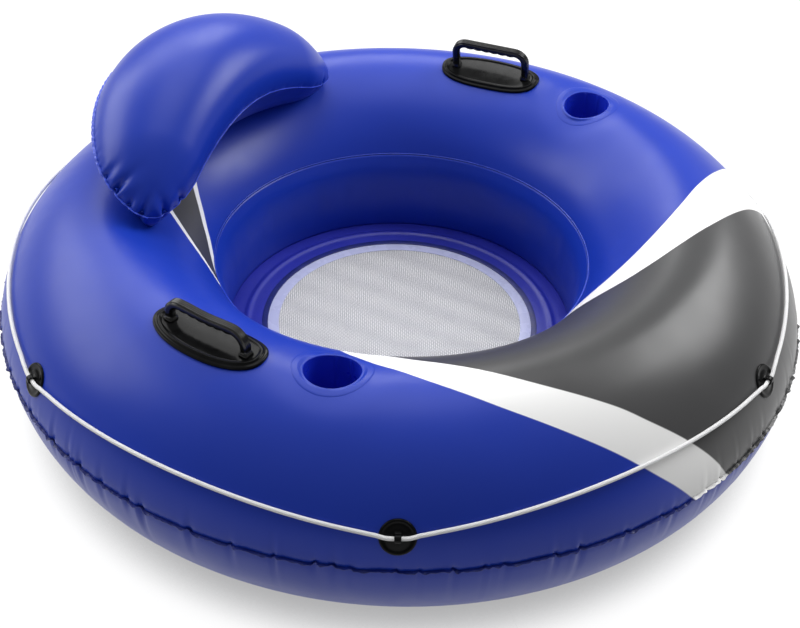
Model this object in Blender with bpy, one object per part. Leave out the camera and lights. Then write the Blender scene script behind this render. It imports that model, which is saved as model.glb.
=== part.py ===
"""River tube: an inflatable ring seat with a mesh floor, a crescent headrest,
two cup holders, two carry handles and a grab rope held round the outside.

Frame: metres, +Z up, origin on the ground at the ring's centre. The headrest
is on the +Y side and the foot side is -Y. Turns are degrees about +Z from +X.
A section angle runs round the tube from its outer side (0), over the
top (90), to the inner side (180).
"""

import math

import bmesh
import bpy
from mathutils import Matrix, Vector

# Tube ring
OUTER_RADIUS = 0.650
TUBE_HALF_WIDTH = 0.1775
SEAM_HEIGHT = 0.1734
CROWN_RISE = 0.1696
CROWN_POWER = 1.67
BELLY_POWER = 2.20
REST_FLATTENING = 0.002
SKIN = 0.0008
GAP = 0.0003
PAD_LIFT = 0.0009
RING_STEPS = 48
CROWN_STEPS = 9
BELLY_STEPS = 4

# Weld bands
OUTER_BAND_REACH = 0.0045
OUTER_BAND_OVERLAP = 0.0015
BAND_THICKNESS = 0.0016
INNER_SEAM_RISE = 0.0496
INNER_BAND_REACH = 0.0075

# Seat well
WALL_THICKNESS = 0.0010
WALL_CLEARANCE = 0.0012
WALL_FLARE = 0.0022
LEDGE_HEIGHT = 0.0770
LEDGE_WIDTH = 0.0600
LEDGE_THICKNESS = 0.0010
RIDGE_INSET = 0.0330
RIDGE_WIDTH = 0.0070
RIDGE_RISE = 0.0045
BORDER_OVERLAP = 0.0060
BORDER_WIDTH = 0.0330
BORDER_THICKNESS = 0.0009
NET_OVERLAP = 0.0040
NET_RIM_WIDTH = 0.0060
NET_THICKNESS = 0.0010
NET_PITCH = 0.0320
NET_STRAND = 0.0045

# Cup holders
CUP_TURNS = {"cup_holder_left": -162.7, "cup_holder_right": -17.7}
CUP_INSET = 0.0205
CUP_RADIUS = 0.0425
CUP_DEPTH = 0.085
CUP_TAPER = 0.004
CUP_CORNER = 0.010
CUP_WALL = 0.0014
CUP_LIP_RISE = 0.0022
CUP_FLANGE = 0.0130
CUP_FLANGE_THICKNESS = 0.0016
CUP_STEPS = 20

# Carry handles
HANDLES = {"left": (175.2, 90.0), "right": (7.9, 100.3)}
HANDLE_BASE_LENGTH = 0.186
HANDLE_BASE_WIDTH = 0.080
HANDLE_BASE_POWER = 2.5
HANDLE_BASE_THICKNESS = 0.0035
HANDLE_BEAD_SCALE = 0.86
HANDLE_BEAD_SPREAD = 0.03
HANDLE_BEAD_RISE = 0.0022
GRIP_SPAN = 0.132
GRIP_HEIGHTS = {"left": 0.048, "right": 0.067}
GRIP_SAGS = {"left": 0.004, "right": 0.0}
GRIP_THICKNESS = 0.0125
GRIP_WIDTH = 0.019
GRIP_BEND = 0.020
GRIP_FOOT_FLARE = 1.25
GRIP_SEATING = 0.0006
FINGER_BUMPS = 6
FINGER_BUMP_RISE = 0.0022

# Grab rope and the patches that hold it
# Each patch has its turn, its section angle and the rope's rise on the way to the next patch
ROPE_PATCHES = (
    (-206.6, 19.0, 7.5),
    (-151.1, 17.0, 8.0),
    (-93.8, 25.0, 12.0),
    (-33.0, 19.0, 8.0),
    (27.0, 19.0, 8.0),
    (88.0, 19.0, 8.0),
)
PATCH_RADIUS = 0.025
PATCH_THICKNESS = 0.002
EYELET_WIDTH = 0.009
EYELET_WALL = 0.0025
ROPE_RADIUS = 0.003
ROPE_FREE_PLAY = 0.0006
ROPE_LIFT = 0.0050
ROPE_POINT_SPACING = 0.066
ROPE_CROSSING = (-1.2, -0.4, 0.4, 1.2)
KNOT_TURN = 57.0
KNOT_LENGTH = 0.024
KNOT_WIDTH = 0.015

# Headrest
HEADREST_TURN = 92.7
HEADREST_INSET = 0.0773
HEADREST_CURVE = 0.4363
HEADREST_HALF_SPAN = 39.1
HEADREST_HALF_WIDTH = 0.1127
HEADREST_TAPER = 0.0651
HEADREST_END_START = 0.724
HEADREST_END_POWER = 2.2
HEADREST_SEAM_LIFT = 0.0908
HEADREST_END_DROP = 0.0841
HEADREST_TILT = 9.3
HEADREST_END_TWIST = 8.6
HEADREST_CROWN = 0.0911
HEADREST_END_FULLNESS = 0.19
HEADREST_CROWN_LEAN = -0.235
HEADREST_BELLY = 0.110
HEADREST_BELLY_POWER = 2.0
HEADREST_CLEARANCE = 0.0010
HEADREST_BAND_REACH = 0.005
HEADREST_BAND_THICKNESS = 0.0012
HEADREST_STATIONS = 14
HEADREST_SIDES = 18

# Main valve, in the ring
MAIN_VALVE_TURN = 48.0
MAIN_VALVE_ANGLE = 42.0
VALVE_FLANGE_RADIUS = 0.028
VALVE_FLANGE_THICKNESS = 0.0022
VALVE_NECK_RADIUS = 0.0172
VALVE_NECK_WALL = 0.0018
VALVE_NECK_RISE = 0.0045
VALVE_NECK_DEPTH = 0.013
SEAT_LIP = 0.0022
SEAT_DEPTH = 0.0100
SEAT_BORE_RADIUS = 0.0085
FLAP_THICKNESS = 0.0010
FLAP_OVERLAP = 0.0015
CAP_THICKNESS = 0.0026
CAP_OVERLAP = 0.0035
CAP_STUB_DEPTH = 0.0040
VALVE_PLAY = 0.0004

# Headrest valve
STEM_STATION = -0.15
STEM_BACK_ANGLE = -22.0
STEM_FLANGE_RADIUS = 0.0170
STEM_FLANGE_THICKNESS = 0.0016
STEM_RADIUS = 0.0068
STEM_WALL = 0.0016
STEM_RISE = 0.0150
STEM_DEPTH = 0.0060
STEM_LIP = 0.0016

CENTRE_RADIUS = OUTER_RADIUS - TUBE_HALF_WIDTH
INNER_RADIUS = CENTRE_RADIUS - TUBE_HALF_WIDTH


def clear_scene():
    for item in list(bpy.data.objects):
        bpy.data.objects.remove(item)


def material(name, colour, roughness, alpha=1.0):
    made = bpy.data.materials.new(name)
    made.use_nodes = True
    shader = made.node_tree.nodes["Principled BSDF"]
    shader.inputs["Base Color"].default_value = (*colour, 1.0)
    shader.inputs["Roughness"].default_value = roughness
    shader.inputs["Metallic"].default_value = 0.0
    shader.inputs["Alpha"].default_value = alpha
    return made


def build(name, rings, finish, closed=False):
    """Join rings of equally many points, or single end points, into one body."""
    mesh = bmesh.new()
    rows = []
    for ring in rings:
        points = [ring] if isinstance(ring, Vector) else ring
        rows.append([mesh.verts.new(point) for point in points])
    pairs = list(zip(rows[:-1], rows[1:]))
    if closed:
        pairs.append((rows[-1], rows[0]))
    for low, high in pairs:
        count = max(len(low), len(high))
        for i in range(count):
            j = (i + 1) % count
            corners = [low[i % len(low)], low[j % len(low)]]
            corners += [high[j % len(high)], high[i % len(high)]]
            mesh.faces.new(list(dict.fromkeys(corners)))
    bmesh.ops.recalc_face_normals(mesh, faces=mesh.faces)
    data = bpy.data.meshes.new(name)
    mesh.to_mesh(data)
    mesh.free()
    data.shade_smooth()
    data.set_sharp_from_angle(angle=math.radians(35.0))
    data.materials.append(finish)
    made = bpy.data.objects.new(name, data)
    bpy.context.scene.collection.objects.link(made)
    return made


def prism(name, outline, direction, finish):
    """A flat outline, swept along a direction."""
    centre = sum(outline, Vector()) / len(outline)
    far = [point + direction for point in outline]
    return build(name, [centre, outline, far, centre + direction], finish)


def as_cutter(item):
    item.hide_render = True
    item.display_type = "WIRE"
    return item


def boolean(item, other, operation="DIFFERENCE"):
    change = item.modifiers.new(other.name, "BOOLEAN")
    change.operation = operation
    change.object = as_cutter(other)


def set_origin(item, frame):
    """Move an object's origin and axes to a frame and leave its shape where it is."""
    item.data.transform(frame.inverted())
    item.matrix_world = frame


def on_circle(turn, radius, height):
    bearing = math.radians(turn)
    return Vector((radius * math.cos(bearing), radius * math.sin(bearing), height))


def revolve(name, profile, finish, steps=RING_STEPS):
    """A closed profile of radii and heights, turned about +Z."""
    turns = [360.0 * i / steps for i in range(steps)]
    rings = [[on_circle(turn, radius, height) for turn in turns] for radius, height in profile]
    return build(name, rings, finish, closed=True)


def section_point(angle):
    """The skin's offset from the tube's centre line, outwards and up."""
    across = math.cos(math.radians(angle))
    up = math.sin(math.radians(angle))
    belly = up < 0.0
    rise = SEAM_HEIGHT + REST_FLATTENING if belly else CROWN_RISE
    power = BELLY_POWER if belly else CROWN_POWER
    total = abs(across / TUBE_HALF_WIDTH) ** power + abs(up / rise) ** power
    reach = total ** (-1.0 / power)
    return across * reach, max(up * reach, -SEAM_HEIGHT)


def section_normal(across, up):
    belly = up < 0.0
    rise = SEAM_HEIGHT + REST_FLATTENING if belly else CROWN_RISE
    power = (BELLY_POWER if belly else CROWN_POWER) - 1.0
    outwards = math.copysign(abs(across / TUBE_HALF_WIDTH) ** power / TUBE_HALF_WIDTH, across)
    upwards = math.copysign(abs(up / rise) ** power / rise, up)
    length = math.hypot(outwards, upwards)
    return outwards / length, upwards / length


def tube_surface(turn, angle):
    across, up = section_point(angle)
    return on_circle(turn, CENTRE_RADIUS + across, SEAM_HEIGHT + up)


def crown_height(radius):
    """Height of the ring's upper skin at a distance from the ring's centre."""
    share = min(abs(radius - CENTRE_RADIUS) / TUBE_HALF_WIDTH, 1.0)
    return SEAM_HEIGHT + CROWN_RISE * (1.0 - share**CROWN_POWER) ** (1.0 / CROWN_POWER)


def angle_at_rise(rise, low, high):
    """Section angle between two others at which the skin is this far above its seam."""
    falling = section_point(high)[1] < section_point(low)[1]
    for _ in range(50):
        middle = (low + high) / 2.0
        if (section_point(middle)[1] > rise) == falling:
            low = middle
        else:
            high = middle
    return (low + high) / 2.0


class Seat:
    """A place on a curved surface, for pieces that lie on it or stand out of it."""

    STEP = 0.001

    def __init__(self, surface, first, second):
        self.surface = surface
        self.first = first
        self.second = second
        self.point = surface(first, second)
        along, across, self.normal = self.tangents(first, second)
        self.along = along.normalized()
        self.across = self.normal.cross(self.along)
        self.first_rate = along.length
        self.second_rate = across.dot(self.across)
        self.skew = across.dot(self.along)

    def tangents(self, first, second):
        step = self.STEP
        along = self.surface(first + step, second) - self.surface(first - step, second)
        across = self.surface(first, second + step) - self.surface(first, second - step)
        normal = along.cross(across).normalized()
        return along / (2.0 * step), across / (2.0 * step), normal

    def lying(self, u, v, lift):
        """A point that follows the surface, lifted off it."""
        second = v / self.second_rate
        first = (u - second * self.skew) / self.first_rate
        place = (self.first + first, self.second + second)
        return self.surface(*place) + self.tangents(*place)[2] * lift

    def standing(self, u, v, height):
        """A point in the flat frame that touches the surface at the seat."""
        return self.point + self.along * u + self.across * v + self.normal * height

    def height_of(self, point):
        """How far a point stands above the flat frame."""
        return (point - self.point).dot(self.normal)

    def frame(self, u=0.0, v=0.0, height=0.0):
        made = Matrix((self.along, self.across, self.normal)).transposed().to_4x4()
        made.translation = self.standing(u, v, height)
        return made

    def ring(self, place, radius, height, steps):
        points = []
        for i in range(steps):
            bearing = 2.0 * math.pi * i / steps
            points.append(place(radius * math.cos(bearing), radius * math.sin(bearing), height))
        return points

    def turned(self, name, profile, finish, steps=16, closed=False):
        """A turned piece: radii and heights, lying on the surface or standing square."""
        rings = []
        for kind, radius, height in profile:
            place = self.lying if kind == "lying" else self.standing
            if radius == 0.0:
                rings.append(place(0.0, 0.0, height))
            else:
                rings.append(self.ring(place, radius, height, steps))
        return build(name, rings, finish, closed)


def standing_profile(pairs):
    return [("standing", radius, height) for radius, height in pairs]


def skin_profile(angles):
    """Outer and inner line of a skin through the section angles given."""
    outer = []
    inner = []
    for angle in angles:
        across, up = section_point(angle)
        outwards, upwards = section_normal(across, up)
        outer.append((CENTRE_RADIUS + across, SEAM_HEIGHT + up))
        if angle in (angles[0], angles[-1]):
            inner.append((outer[-1][0] - math.copysign(SKIN / abs(outwards), outwards), outer[-1][1]))
        else:
            inner.append((outer[-1][0] - SKIN * outwards, outer[-1][1] - SKIN * upwards))
    return outer + inner[::-1]


def spread(low, high, steps):
    return [low + (high - low) * i / steps for i in range(steps + 1)]


def upper_skin(finish):
    edge = BAND_THICKNESS / 2.0 + GAP
    start = angle_at_rise(edge, 0.0, 60.0)
    end = angle_at_rise(INNER_SEAM_RISE + edge, 120.0, 180.0)
    return revolve("upper_skin", skin_profile(spread(start, end, CROWN_STEPS)), finish)


def lower_skin(finish):
    """From the outer seam under the ring, with a flat where it rests, to the inner seam."""
    edge = BAND_THICKNESS / 2.0 + GAP
    outer_start = angle_at_rise(-edge, -60.0, 0.0)
    share = (SEAM_HEIGHT / (SEAM_HEIGHT + REST_FLATTENING)) ** BELLY_POWER
    flat = TUBE_HALF_WIDTH * (1.0 - share) ** (1.0 / BELLY_POWER)
    flat_angle = math.degrees(math.atan2(flat, SEAM_HEIGHT))
    inner_end = 360.0 - angle_at_rise(INNER_SEAM_RISE - edge, 120.0, 180.0)
    outer = spread(outer_start, flat_angle - 90.0, BELLY_STEPS)
    inner = spread(-90.0 - flat_angle, -180.0, BELLY_STEPS)
    rise = spread(-180.0, -inner_end, 2)[1:]
    return revolve("lower_skin", skin_profile(outer + inner + rise), finish)


def band(name, inside, outside, height, finish):
    low = height - BAND_THICKNESS / 2.0
    high = height + BAND_THICKNESS / 2.0
    profile = [(inside, low), (outside, low), (outside, high), (inside, high)]
    return revolve(name, profile, finish)


def inner_seam_radius():
    angle = angle_at_rise(INNER_SEAM_RISE, 120.0, 180.0)
    return CENTRE_RADIUS + section_point(angle)[0]


def weld_bands(finish):
    band(
        "outer_weld_band",
        OUTER_RADIUS - OUTER_BAND_OVERLAP,
        OUTER_RADIUS + OUTER_BAND_REACH,
        SEAM_HEIGHT,
        finish,
    )
    seam = inner_seam_radius()
    height = SEAM_HEIGHT + INNER_SEAM_RISE
    band("inner_weld_band", seam - INNER_BAND_REACH, seam + SKIN, height, finish)


def wall_radius():
    """Radius of the seat wall's face that lies against the inflated ring."""
    return INNER_RADIUS - WALL_CLEARANCE


def ledge_edge():
    return wall_radius() + WALL_FLARE - WALL_THICKNESS - LEDGE_WIDTH


def seat_well(finish):
    """The wall that hangs from the inner seam and the ledge at its foot."""
    face = wall_radius()
    foot = face + WALL_FLARE
    top = SEAM_HEIGHT + INNER_SEAM_RISE - BAND_THICKNESS / 2.0 - GAP
    top_face = inner_seam_radius() - INNER_BAND_REACH + 2.0 * WALL_THICKNESS
    knee = SEAM_HEIGHT + INNER_SEAM_RISE / 4.0
    low_knee = SEAM_HEIGHT - INNER_SEAM_RISE / 2.0
    foot_height = LEDGE_HEIGHT + GAP
    line = [(top_face, top), (face, knee), (face, low_knee), (foot, foot_height)]
    inside = [(radius - WALL_THICKNESS, height) for radius, height in line]
    revolve("seat_wall", line + inside[::-1], finish)
    under = LEDGE_HEIGHT - LEDGE_THICKNESS
    ridge = foot - RIDGE_INSET
    half = RIDGE_WIDTH / 2.0
    slope = RIDGE_WIDTH / 4.0
    crest = LEDGE_HEIGHT + RIDGE_RISE
    profile = [
        (foot, under),
        (foot, LEDGE_HEIGHT),
        (ridge + half, LEDGE_HEIGHT),
        (ridge + half - slope, crest),
        (ridge - half + slope, crest),
        (ridge - half, LEDGE_HEIGHT),
        (ledge_edge(), LEDGE_HEIGHT),
        (ledge_edge(), under),
    ]
    revolve("floor_ledge", profile, finish)


def mesh_floor(border_finish, net_finish):
    """A clear border welded under the ledge, and the net welded under the border."""
    top = LEDGE_HEIGHT - LEDGE_THICKNESS - GAP
    low = top - BORDER_THICKNESS
    outside = ledge_edge() + BORDER_OVERLAP
    inside = outside - BORDER_WIDTH
    revolve("mesh_border", [(inside, low), (outside, low), (outside, top), (inside, top)], border_finish)
    net_top = low - GAP
    net_low = net_top - NET_THICKNESS
    rim_outside = inside + NET_OVERLAP
    rim_inside = rim_outside - NET_RIM_WIDTH
    rim_profile = [(rim_inside, net_low), (rim_outside, net_low)]
    rim_profile += [(rim_outside, net_top), (rim_inside, net_top)]
    rim = revolve("net_rim", rim_profile, net_finish)
    disc_radius = (rim_inside + rim_outside) / 2.0
    edge = [on_circle(360.0 * i / RING_STEPS, disc_radius, net_low - GAP) for i in range(RING_STEPS)]
    disc = prism("net_outline", edge, Vector((0.0, 0.0, NET_THICKNESS + 2.0 * GAP)), net_finish)
    net = lattice("mesh_floor", (rim_inside, disc_radius), net_low, net_top, net_finish)
    boolean(net, disc, "INTERSECT")
    boolean(net, rim, "UNION")
    return net


def lattice(name, radii, low, high, finish):
    """A square net of flat strands, clear of the rim's inside, with ends past the circle."""
    inside, radius = radii
    count = math.floor((inside - NET_STRAND) / NET_PITCH + 0.5)
    half = NET_STRAND / 2.0
    lines = [-radius - NET_PITCH]
    for i in range(-count, count):
        middle = (i + 0.5) * NET_PITCH
        lines += [middle - half, middle + half]
    lines.append(radius + NET_PITCH)
    mesh = bmesh.new()
    size = len(lines)
    levels = [
        [[mesh.verts.new((x, y, height)) for y in lines] for x in lines] for height in (low, high)
    ]
    solid = {}
    for i in range(size - 1):
        for j in range(size - 1):
            solid[i, j] = i % 2 == 1 or j % 2 == 1
            if not solid[i, j]:
                continue
            for level in levels:
                corners = (level[i][j], level[i + 1][j], level[i + 1][j + 1], level[i][j + 1])
                mesh.faces.new(corners)
    for edge in [edge for edge in mesh.edges if len(edge.link_faces) == 1]:
        first, second = edge.verts
        if first.co.z > (low + high) / 2.0:
            continue
        pair = []
        for vertex in (second, first):
            i = lines.index(min(lines, key=lambda line: abs(line - vertex.co.x)))
            j = lines.index(min(lines, key=lambda line: abs(line - vertex.co.y)))
            pair.append(levels[1][i][j])
        mesh.faces.new((first, second, *pair))
    bmesh.ops.recalc_face_normals(mesh, faces=mesh.faces)
    data = bpy.data.meshes.new(name)
    mesh.to_mesh(data)
    mesh.free()
    data.materials.append(finish)
    made = bpy.data.objects.new(name, data)
    bpy.context.scene.collection.objects.link(made)
    return made


def cup_holder(name, turn, skin, finish):
    """A deep cup with an upright axis, its flange lying on the ring's crown."""
    centre = on_circle(turn, CENTRE_RADIUS - CUP_INSET, 0.0)
    floor = crown_height(centre.length) - CUP_DEPTH
    lift = PAD_LIFT + GAP
    top = lift + CUP_FLANGE_THICKNESS
    base = CUP_RADIUS - CUP_TAPER

    def ring(radius, height, follows):
        points = []
        for i in range(CUP_STEPS):
            point = centre + on_circle(360.0 * i / CUP_STEPS, radius, 0.0)
            point.z = height + (crown_height(point.xy.length) if follows else floor)
            points.append(point)
        return points

    under = Vector((centre.x, centre.y, floor - CUP_WALL))
    rings = [
        Vector((centre.x, centre.y, floor)),
        ring(base - CUP_CORNER, 0.0, False),
        ring(base - 0.3 * CUP_CORNER, 0.3 * CUP_CORNER, False),
        ring(base, CUP_CORNER, False),
        ring(CUP_RADIUS, top - CUP_LIP_RISE, True),
        ring(CUP_RADIUS + CUP_LIP_RISE, top + CUP_LIP_RISE, True),
        ring(CUP_RADIUS + 2.5 * CUP_LIP_RISE, top, True),
        ring(CUP_RADIUS + CUP_FLANGE, top, True),
        ring(CUP_RADIUS + CUP_FLANGE, lift, True),
        ring(CUP_RADIUS + CUP_WALL + 2.0 * GAP, lift, True),
        ring(CUP_RADIUS + CUP_WALL, lift - CUP_FLANGE_THICKNESS, True),
        ring(base + CUP_WALL, CUP_CORNER, False),
        ring(base + CUP_WALL - 0.3 * CUP_CORNER, 0.3 * CUP_CORNER - CUP_WALL, False),
        ring(base - CUP_CORNER, -CUP_WALL, False),
        under,
    ]
    build(name, rings, finish)
    bore = CUP_RADIUS + CUP_WALL + GAP
    hole = ring(bore, 0.0, False)
    boolean(skin, prism(name + "_hole", hole, Vector((0.0, 0.0, 2.0 * CUP_DEPTH)), finish))


def oval(seat, scale, lift, steps=20):
    """One outline of the handle base, at a share of its full size."""
    points = []
    for i in range(steps):
        bearing = 2.0 * math.pi * i / steps
        power = 2.0 / HANDLE_BASE_POWER
        u = math.copysign(abs(math.cos(bearing)) ** power, math.cos(bearing))
        v = math.copysign(abs(math.sin(bearing)) ** power, math.sin(bearing))
        half_length = scale * HANDLE_BASE_LENGTH / 2.0
        half_width = scale * HANDLE_BASE_WIDTH / 2.0
        points.append(seat.lying(u * half_length, v * half_width, lift))
    return points


def handle_base(side, seat, finish):
    lift = PAD_LIFT
    top = lift + HANDLE_BASE_THICKNESS
    bead = HANDLE_BEAD_SCALE
    rings = [seat.lying(0.0, 0.0, lift)]
    rings += [oval(seat, scale, lift) for scale in (0.35, 0.7, 1.0)]
    rings.append(oval(seat, 1.0, lift + HANDLE_BASE_THICKNESS / 2.0))
    rings.append(oval(seat, 0.96, top))
    rings.append(oval(seat, bead + HANDLE_BEAD_SPREAD, top))
    rings.append(oval(seat, bead, top + HANDLE_BEAD_RISE))
    rings.append(oval(seat, bead - HANDLE_BEAD_SPREAD, top))
    rings.append(oval(seat, 0.4, top))
    rings.append(seat.lying(0.0, 0.0, top))
    build(side + "_handle_base", rings, finish)


def grip_path(side, seat):
    """Middle line of a grip: along, height, lean of the section and finger bump."""
    half = GRIP_SPAN / 2.0
    top = GRIP_HEIGHTS[side] - GRIP_THICKNESS / 2.0
    base_top = seat.lying(half, 0.0, PAD_LIFT + HANDLE_BASE_THICKNESS)
    foot = seat.height_of(base_top) + GRIP_SEATING
    stations = [(-half, foot, 0.0, 0.0), (-half, foot + GRIP_BEND / 4.0, 0.0, 0.0)]
    for i in range(4):
        lean = 90.0 * i / 3.0
        swing = math.radians(lean)
        u = -half + GRIP_BEND * (1.0 - math.cos(swing))
        stations.append((u, top - GRIP_BEND * (1.0 - math.sin(swing)), lean, 0.0))
    reach = half - GRIP_BEND
    steps = 3 * FINGER_BUMPS
    for i in range(1, steps):
        bump = abs(math.sin(math.pi * i / 3.0)) * FINGER_BUMP_RISE
        sag = GRIP_SAGS[side] * math.sin(math.pi * i / steps) ** 2
        stations.append((-reach + 2.0 * reach * i / steps, top - sag, 90.0, bump))
    mirrored = [(-u, height, 180.0 - lean, bump) for u, height, lean, bump in stations[:6]]
    return stations + mirrored[::-1]


def handle_grip(side, seat, finish):
    """An arch that stands on its base, bumpy on the underside for the fingers."""
    stations = grip_path(side, seat)
    rings = []
    for place, (u, height, lean, bump) in enumerate(stations):
        flare = GRIP_FOOT_FLARE if place in (0, len(stations) - 1) else 1.0
        swing = math.radians(lean)
        half = flare * GRIP_THICKNESS / 2.0
        width = flare * GRIP_WIDTH / 2.0
        corner = 0.35 * GRIP_THICKNESS
        ring = []
        outline = [(half, width - corner), (half - corner, width), (corner - half, width)]
        outline += [(-half - bump, width - corner)]
        outline += [(depth, -across) for depth, across in outline[::-1]]
        for depth, across in outline:
            along = u - depth * math.cos(swing)
            ring.append(seat.standing(along, across, height + depth * math.sin(swing)))
        rings.append(ring)
    first = sum(rings[0], Vector()) / len(rings[0])
    last = sum(rings[-1], Vector()) / len(rings[-1])
    build(side + "_handle_grip", [first, *rings, last], finish)


def rope_patch(name, seat, finish):
    """A welded disc with an arched eyelet for the rope."""
    lift = PAD_LIFT
    top = lift + PATCH_THICKNESS
    profile = [
        ("lying", 0.0, lift),
        ("lying", 0.6 * PATCH_RADIUS, lift),
        ("lying", PATCH_RADIUS, lift),
        ("lying", PATCH_RADIUS - PATCH_THICKNESS / 2.0, top),
        ("lying", 0.6 * PATCH_RADIUS, top),
        ("lying", 0.0, top),
    ]
    disc = seat.turned(name, profile, finish)
    bore = ROPE_RADIUS + ROPE_FREE_PLAY
    middle = top + bore
    sunk = top - PATCH_THICKNESS / 2.0
    outer = bore + EYELET_WALL
    arch = []
    for radius, angles in ((outer, spread(0.0, 180.0, 5)), (bore, spread(180.0, 0.0, 5))):
        line = [
            (radius * math.cos(math.radians(a)), middle + radius * math.sin(math.radians(a)))
            for a in angles
        ]
        line.insert(0, (line[0][0], sunk))
        line.append((line[-1][0], sunk))
        arch += line
    half = EYELET_WIDTH / 2.0
    near = [seat.standing(-half, v, height) for v, height in arch]
    far = [seat.standing(half, v, height) for v, height in arch]
    strap = build(name + "_eyelet", [near, far], finish)
    close_ends(strap, len(arch))
    boolean(disc, strap, "UNION")


def close_ends(item, count):
    """Close both ends of an arch whose outer and inner line run opposite ways."""
    mesh = bmesh.new()
    mesh.from_mesh(item.data)
    mesh.verts.ensure_lookup_table()
    for start in (0, count):
        for i in range(count // 2 - 1):
            corners = [i, i + 1, count - 2 - i, count - 1 - i]
            mesh.faces.new([mesh.verts[start + corner] for corner in corners])
    bmesh.ops.recalc_face_normals(mesh, faces=mesh.faces)
    mesh.to_mesh(item.data)
    mesh.free()


def rope_angle(turn):
    """Section angle of the rope, which rides up between its patches."""
    patches = sorted((place % 360.0, angle, rise) for place, angle, rise in ROPE_PATCHES)
    patches.append((patches[0][0] + 360.0, patches[0][1], patches[0][2]))
    turn = turn % 360.0
    if turn < patches[0][0]:
        turn += 360.0
    past = (from_patch(turn) - ROPE_CROSSING[2]) / (ROPE_CROSSING[3] - ROPE_CROSSING[2])
    for (low, low_angle, rise), (high, high_angle, _) in zip(patches[:-1], patches[1:]):
        if low <= turn <= high:
            share = (turn - low) / (high - low)
            lift = rise * math.sin(math.pi * share) * min(max(past, 0.0), 1.0)
            return low_angle + (high_angle - low_angle) * share + lift
    return patches[0][1]


def from_patch(turn):
    """Distance along the rope to its nearest patch, in radii of the patch."""
    radius = CENTRE_RADIUS + section_point(ROPE_PATCHES[0][1])[0]
    nearest = min(abs((turn - place + 180.0) % 360.0 - 180.0) for place, *_ in ROPE_PATCHES)
    return math.radians(nearest) * radius / PATCH_RADIUS


def rope_height(turn):
    """Rope's middle above the skin: higher where it crosses a patch."""
    at_patch = PAD_LIFT + PATCH_THICKNESS + ROPE_FREE_PLAY + ROPE_RADIUS
    share = min(max(from_patch(turn) - ROPE_CROSSING[-1], 0.0), 1.0)
    return at_patch + (ROPE_LIFT - at_patch) * share


def rope_turns():
    """Turns of the rope's points, from one side of the knot round to the other."""
    radius = CENTRE_RADIUS + section_point(ROPE_PATCHES[0][1])[0]
    knot = math.degrees((KNOT_LENGTH / 2.0 + GAP) / radius)
    start = KNOT_TURN + knot
    end = KNOT_TURN + 360.0 - knot
    near = [math.degrees(share * PATCH_RADIUS / radius) for share in ROPE_CROSSING]
    stops = []
    for place, *_ in ROPE_PATCHES:
        middle = (place - KNOT_TURN) % 360.0 + KNOT_TURN
        stops += [middle + offset for offset in near]
    stops = [start, *sorted(stops), end]
    turns = [start]
    for low, high in zip(stops[:-1], stops[1:]):
        length = math.radians(high - low) * radius
        steps = max(1, round(length / ROPE_POINT_SPACING))
        turns += spread(low, high, steps)[1:]
    return turns


def grab_rope(finish):
    points = []
    for turn in rope_turns():
        seat = Seat(tube_surface, turn, rope_angle(turn))
        points.append(seat.standing(0.0, 0.0, rope_height(turn)))
    curve = bpy.data.curves.new("grab_rope", "CURVE")
    curve.dimensions = "3D"
    curve.bevel_depth = ROPE_RADIUS
    curve.bevel_resolution = 2
    curve.use_fill_caps = True
    line = curve.splines.new("POLY")
    line.points.add(len(points) - 1)
    for place, point in zip(line.points, points):
        place.co = (*point, 1.0)
    curve.materials.append(finish)
    rope = bpy.data.objects.new("grab_rope", curve)
    bpy.context.scene.collection.objects.link(rope)
    seat = Seat(tube_surface, KNOT_TURN, rope_angle(KNOT_TURN))
    rings = []
    height = KNOT_WIDTH / 2.0 + 4.0 * GAP
    for angle in spread(0.0, 180.0, 8):
        u = -math.cos(math.radians(angle)) * KNOT_LENGTH / 2.0
        radius = math.sin(math.radians(angle)) * KNOT_WIDTH / 2.0
        if angle in (0.0, 180.0):
            rings.append(seat.standing(u, 0.0, height))
            continue
        ring = []
        for i in range(10):
            bearing = 2.0 * math.pi * i / 10
            across = radius * math.cos(bearing)
            ring.append(seat.standing(u, across, height + radius * math.sin(bearing)))
        rings.append(ring)
    build("rope_knot", rings, finish)


def headrest_width(station):
    """Half-width of the headrest at a station from -1 to 1 along it."""
    reach = abs(station)
    width = HEADREST_HALF_WIDTH - HEADREST_TAPER * reach**2
    end = max((reach - HEADREST_END_START) / (1.0 - HEADREST_END_START), 0.0)
    power = HEADREST_END_POWER
    return width * max(1.0 - min(end, 1.0) ** power, 0.0) ** (1.0 / power)


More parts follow.
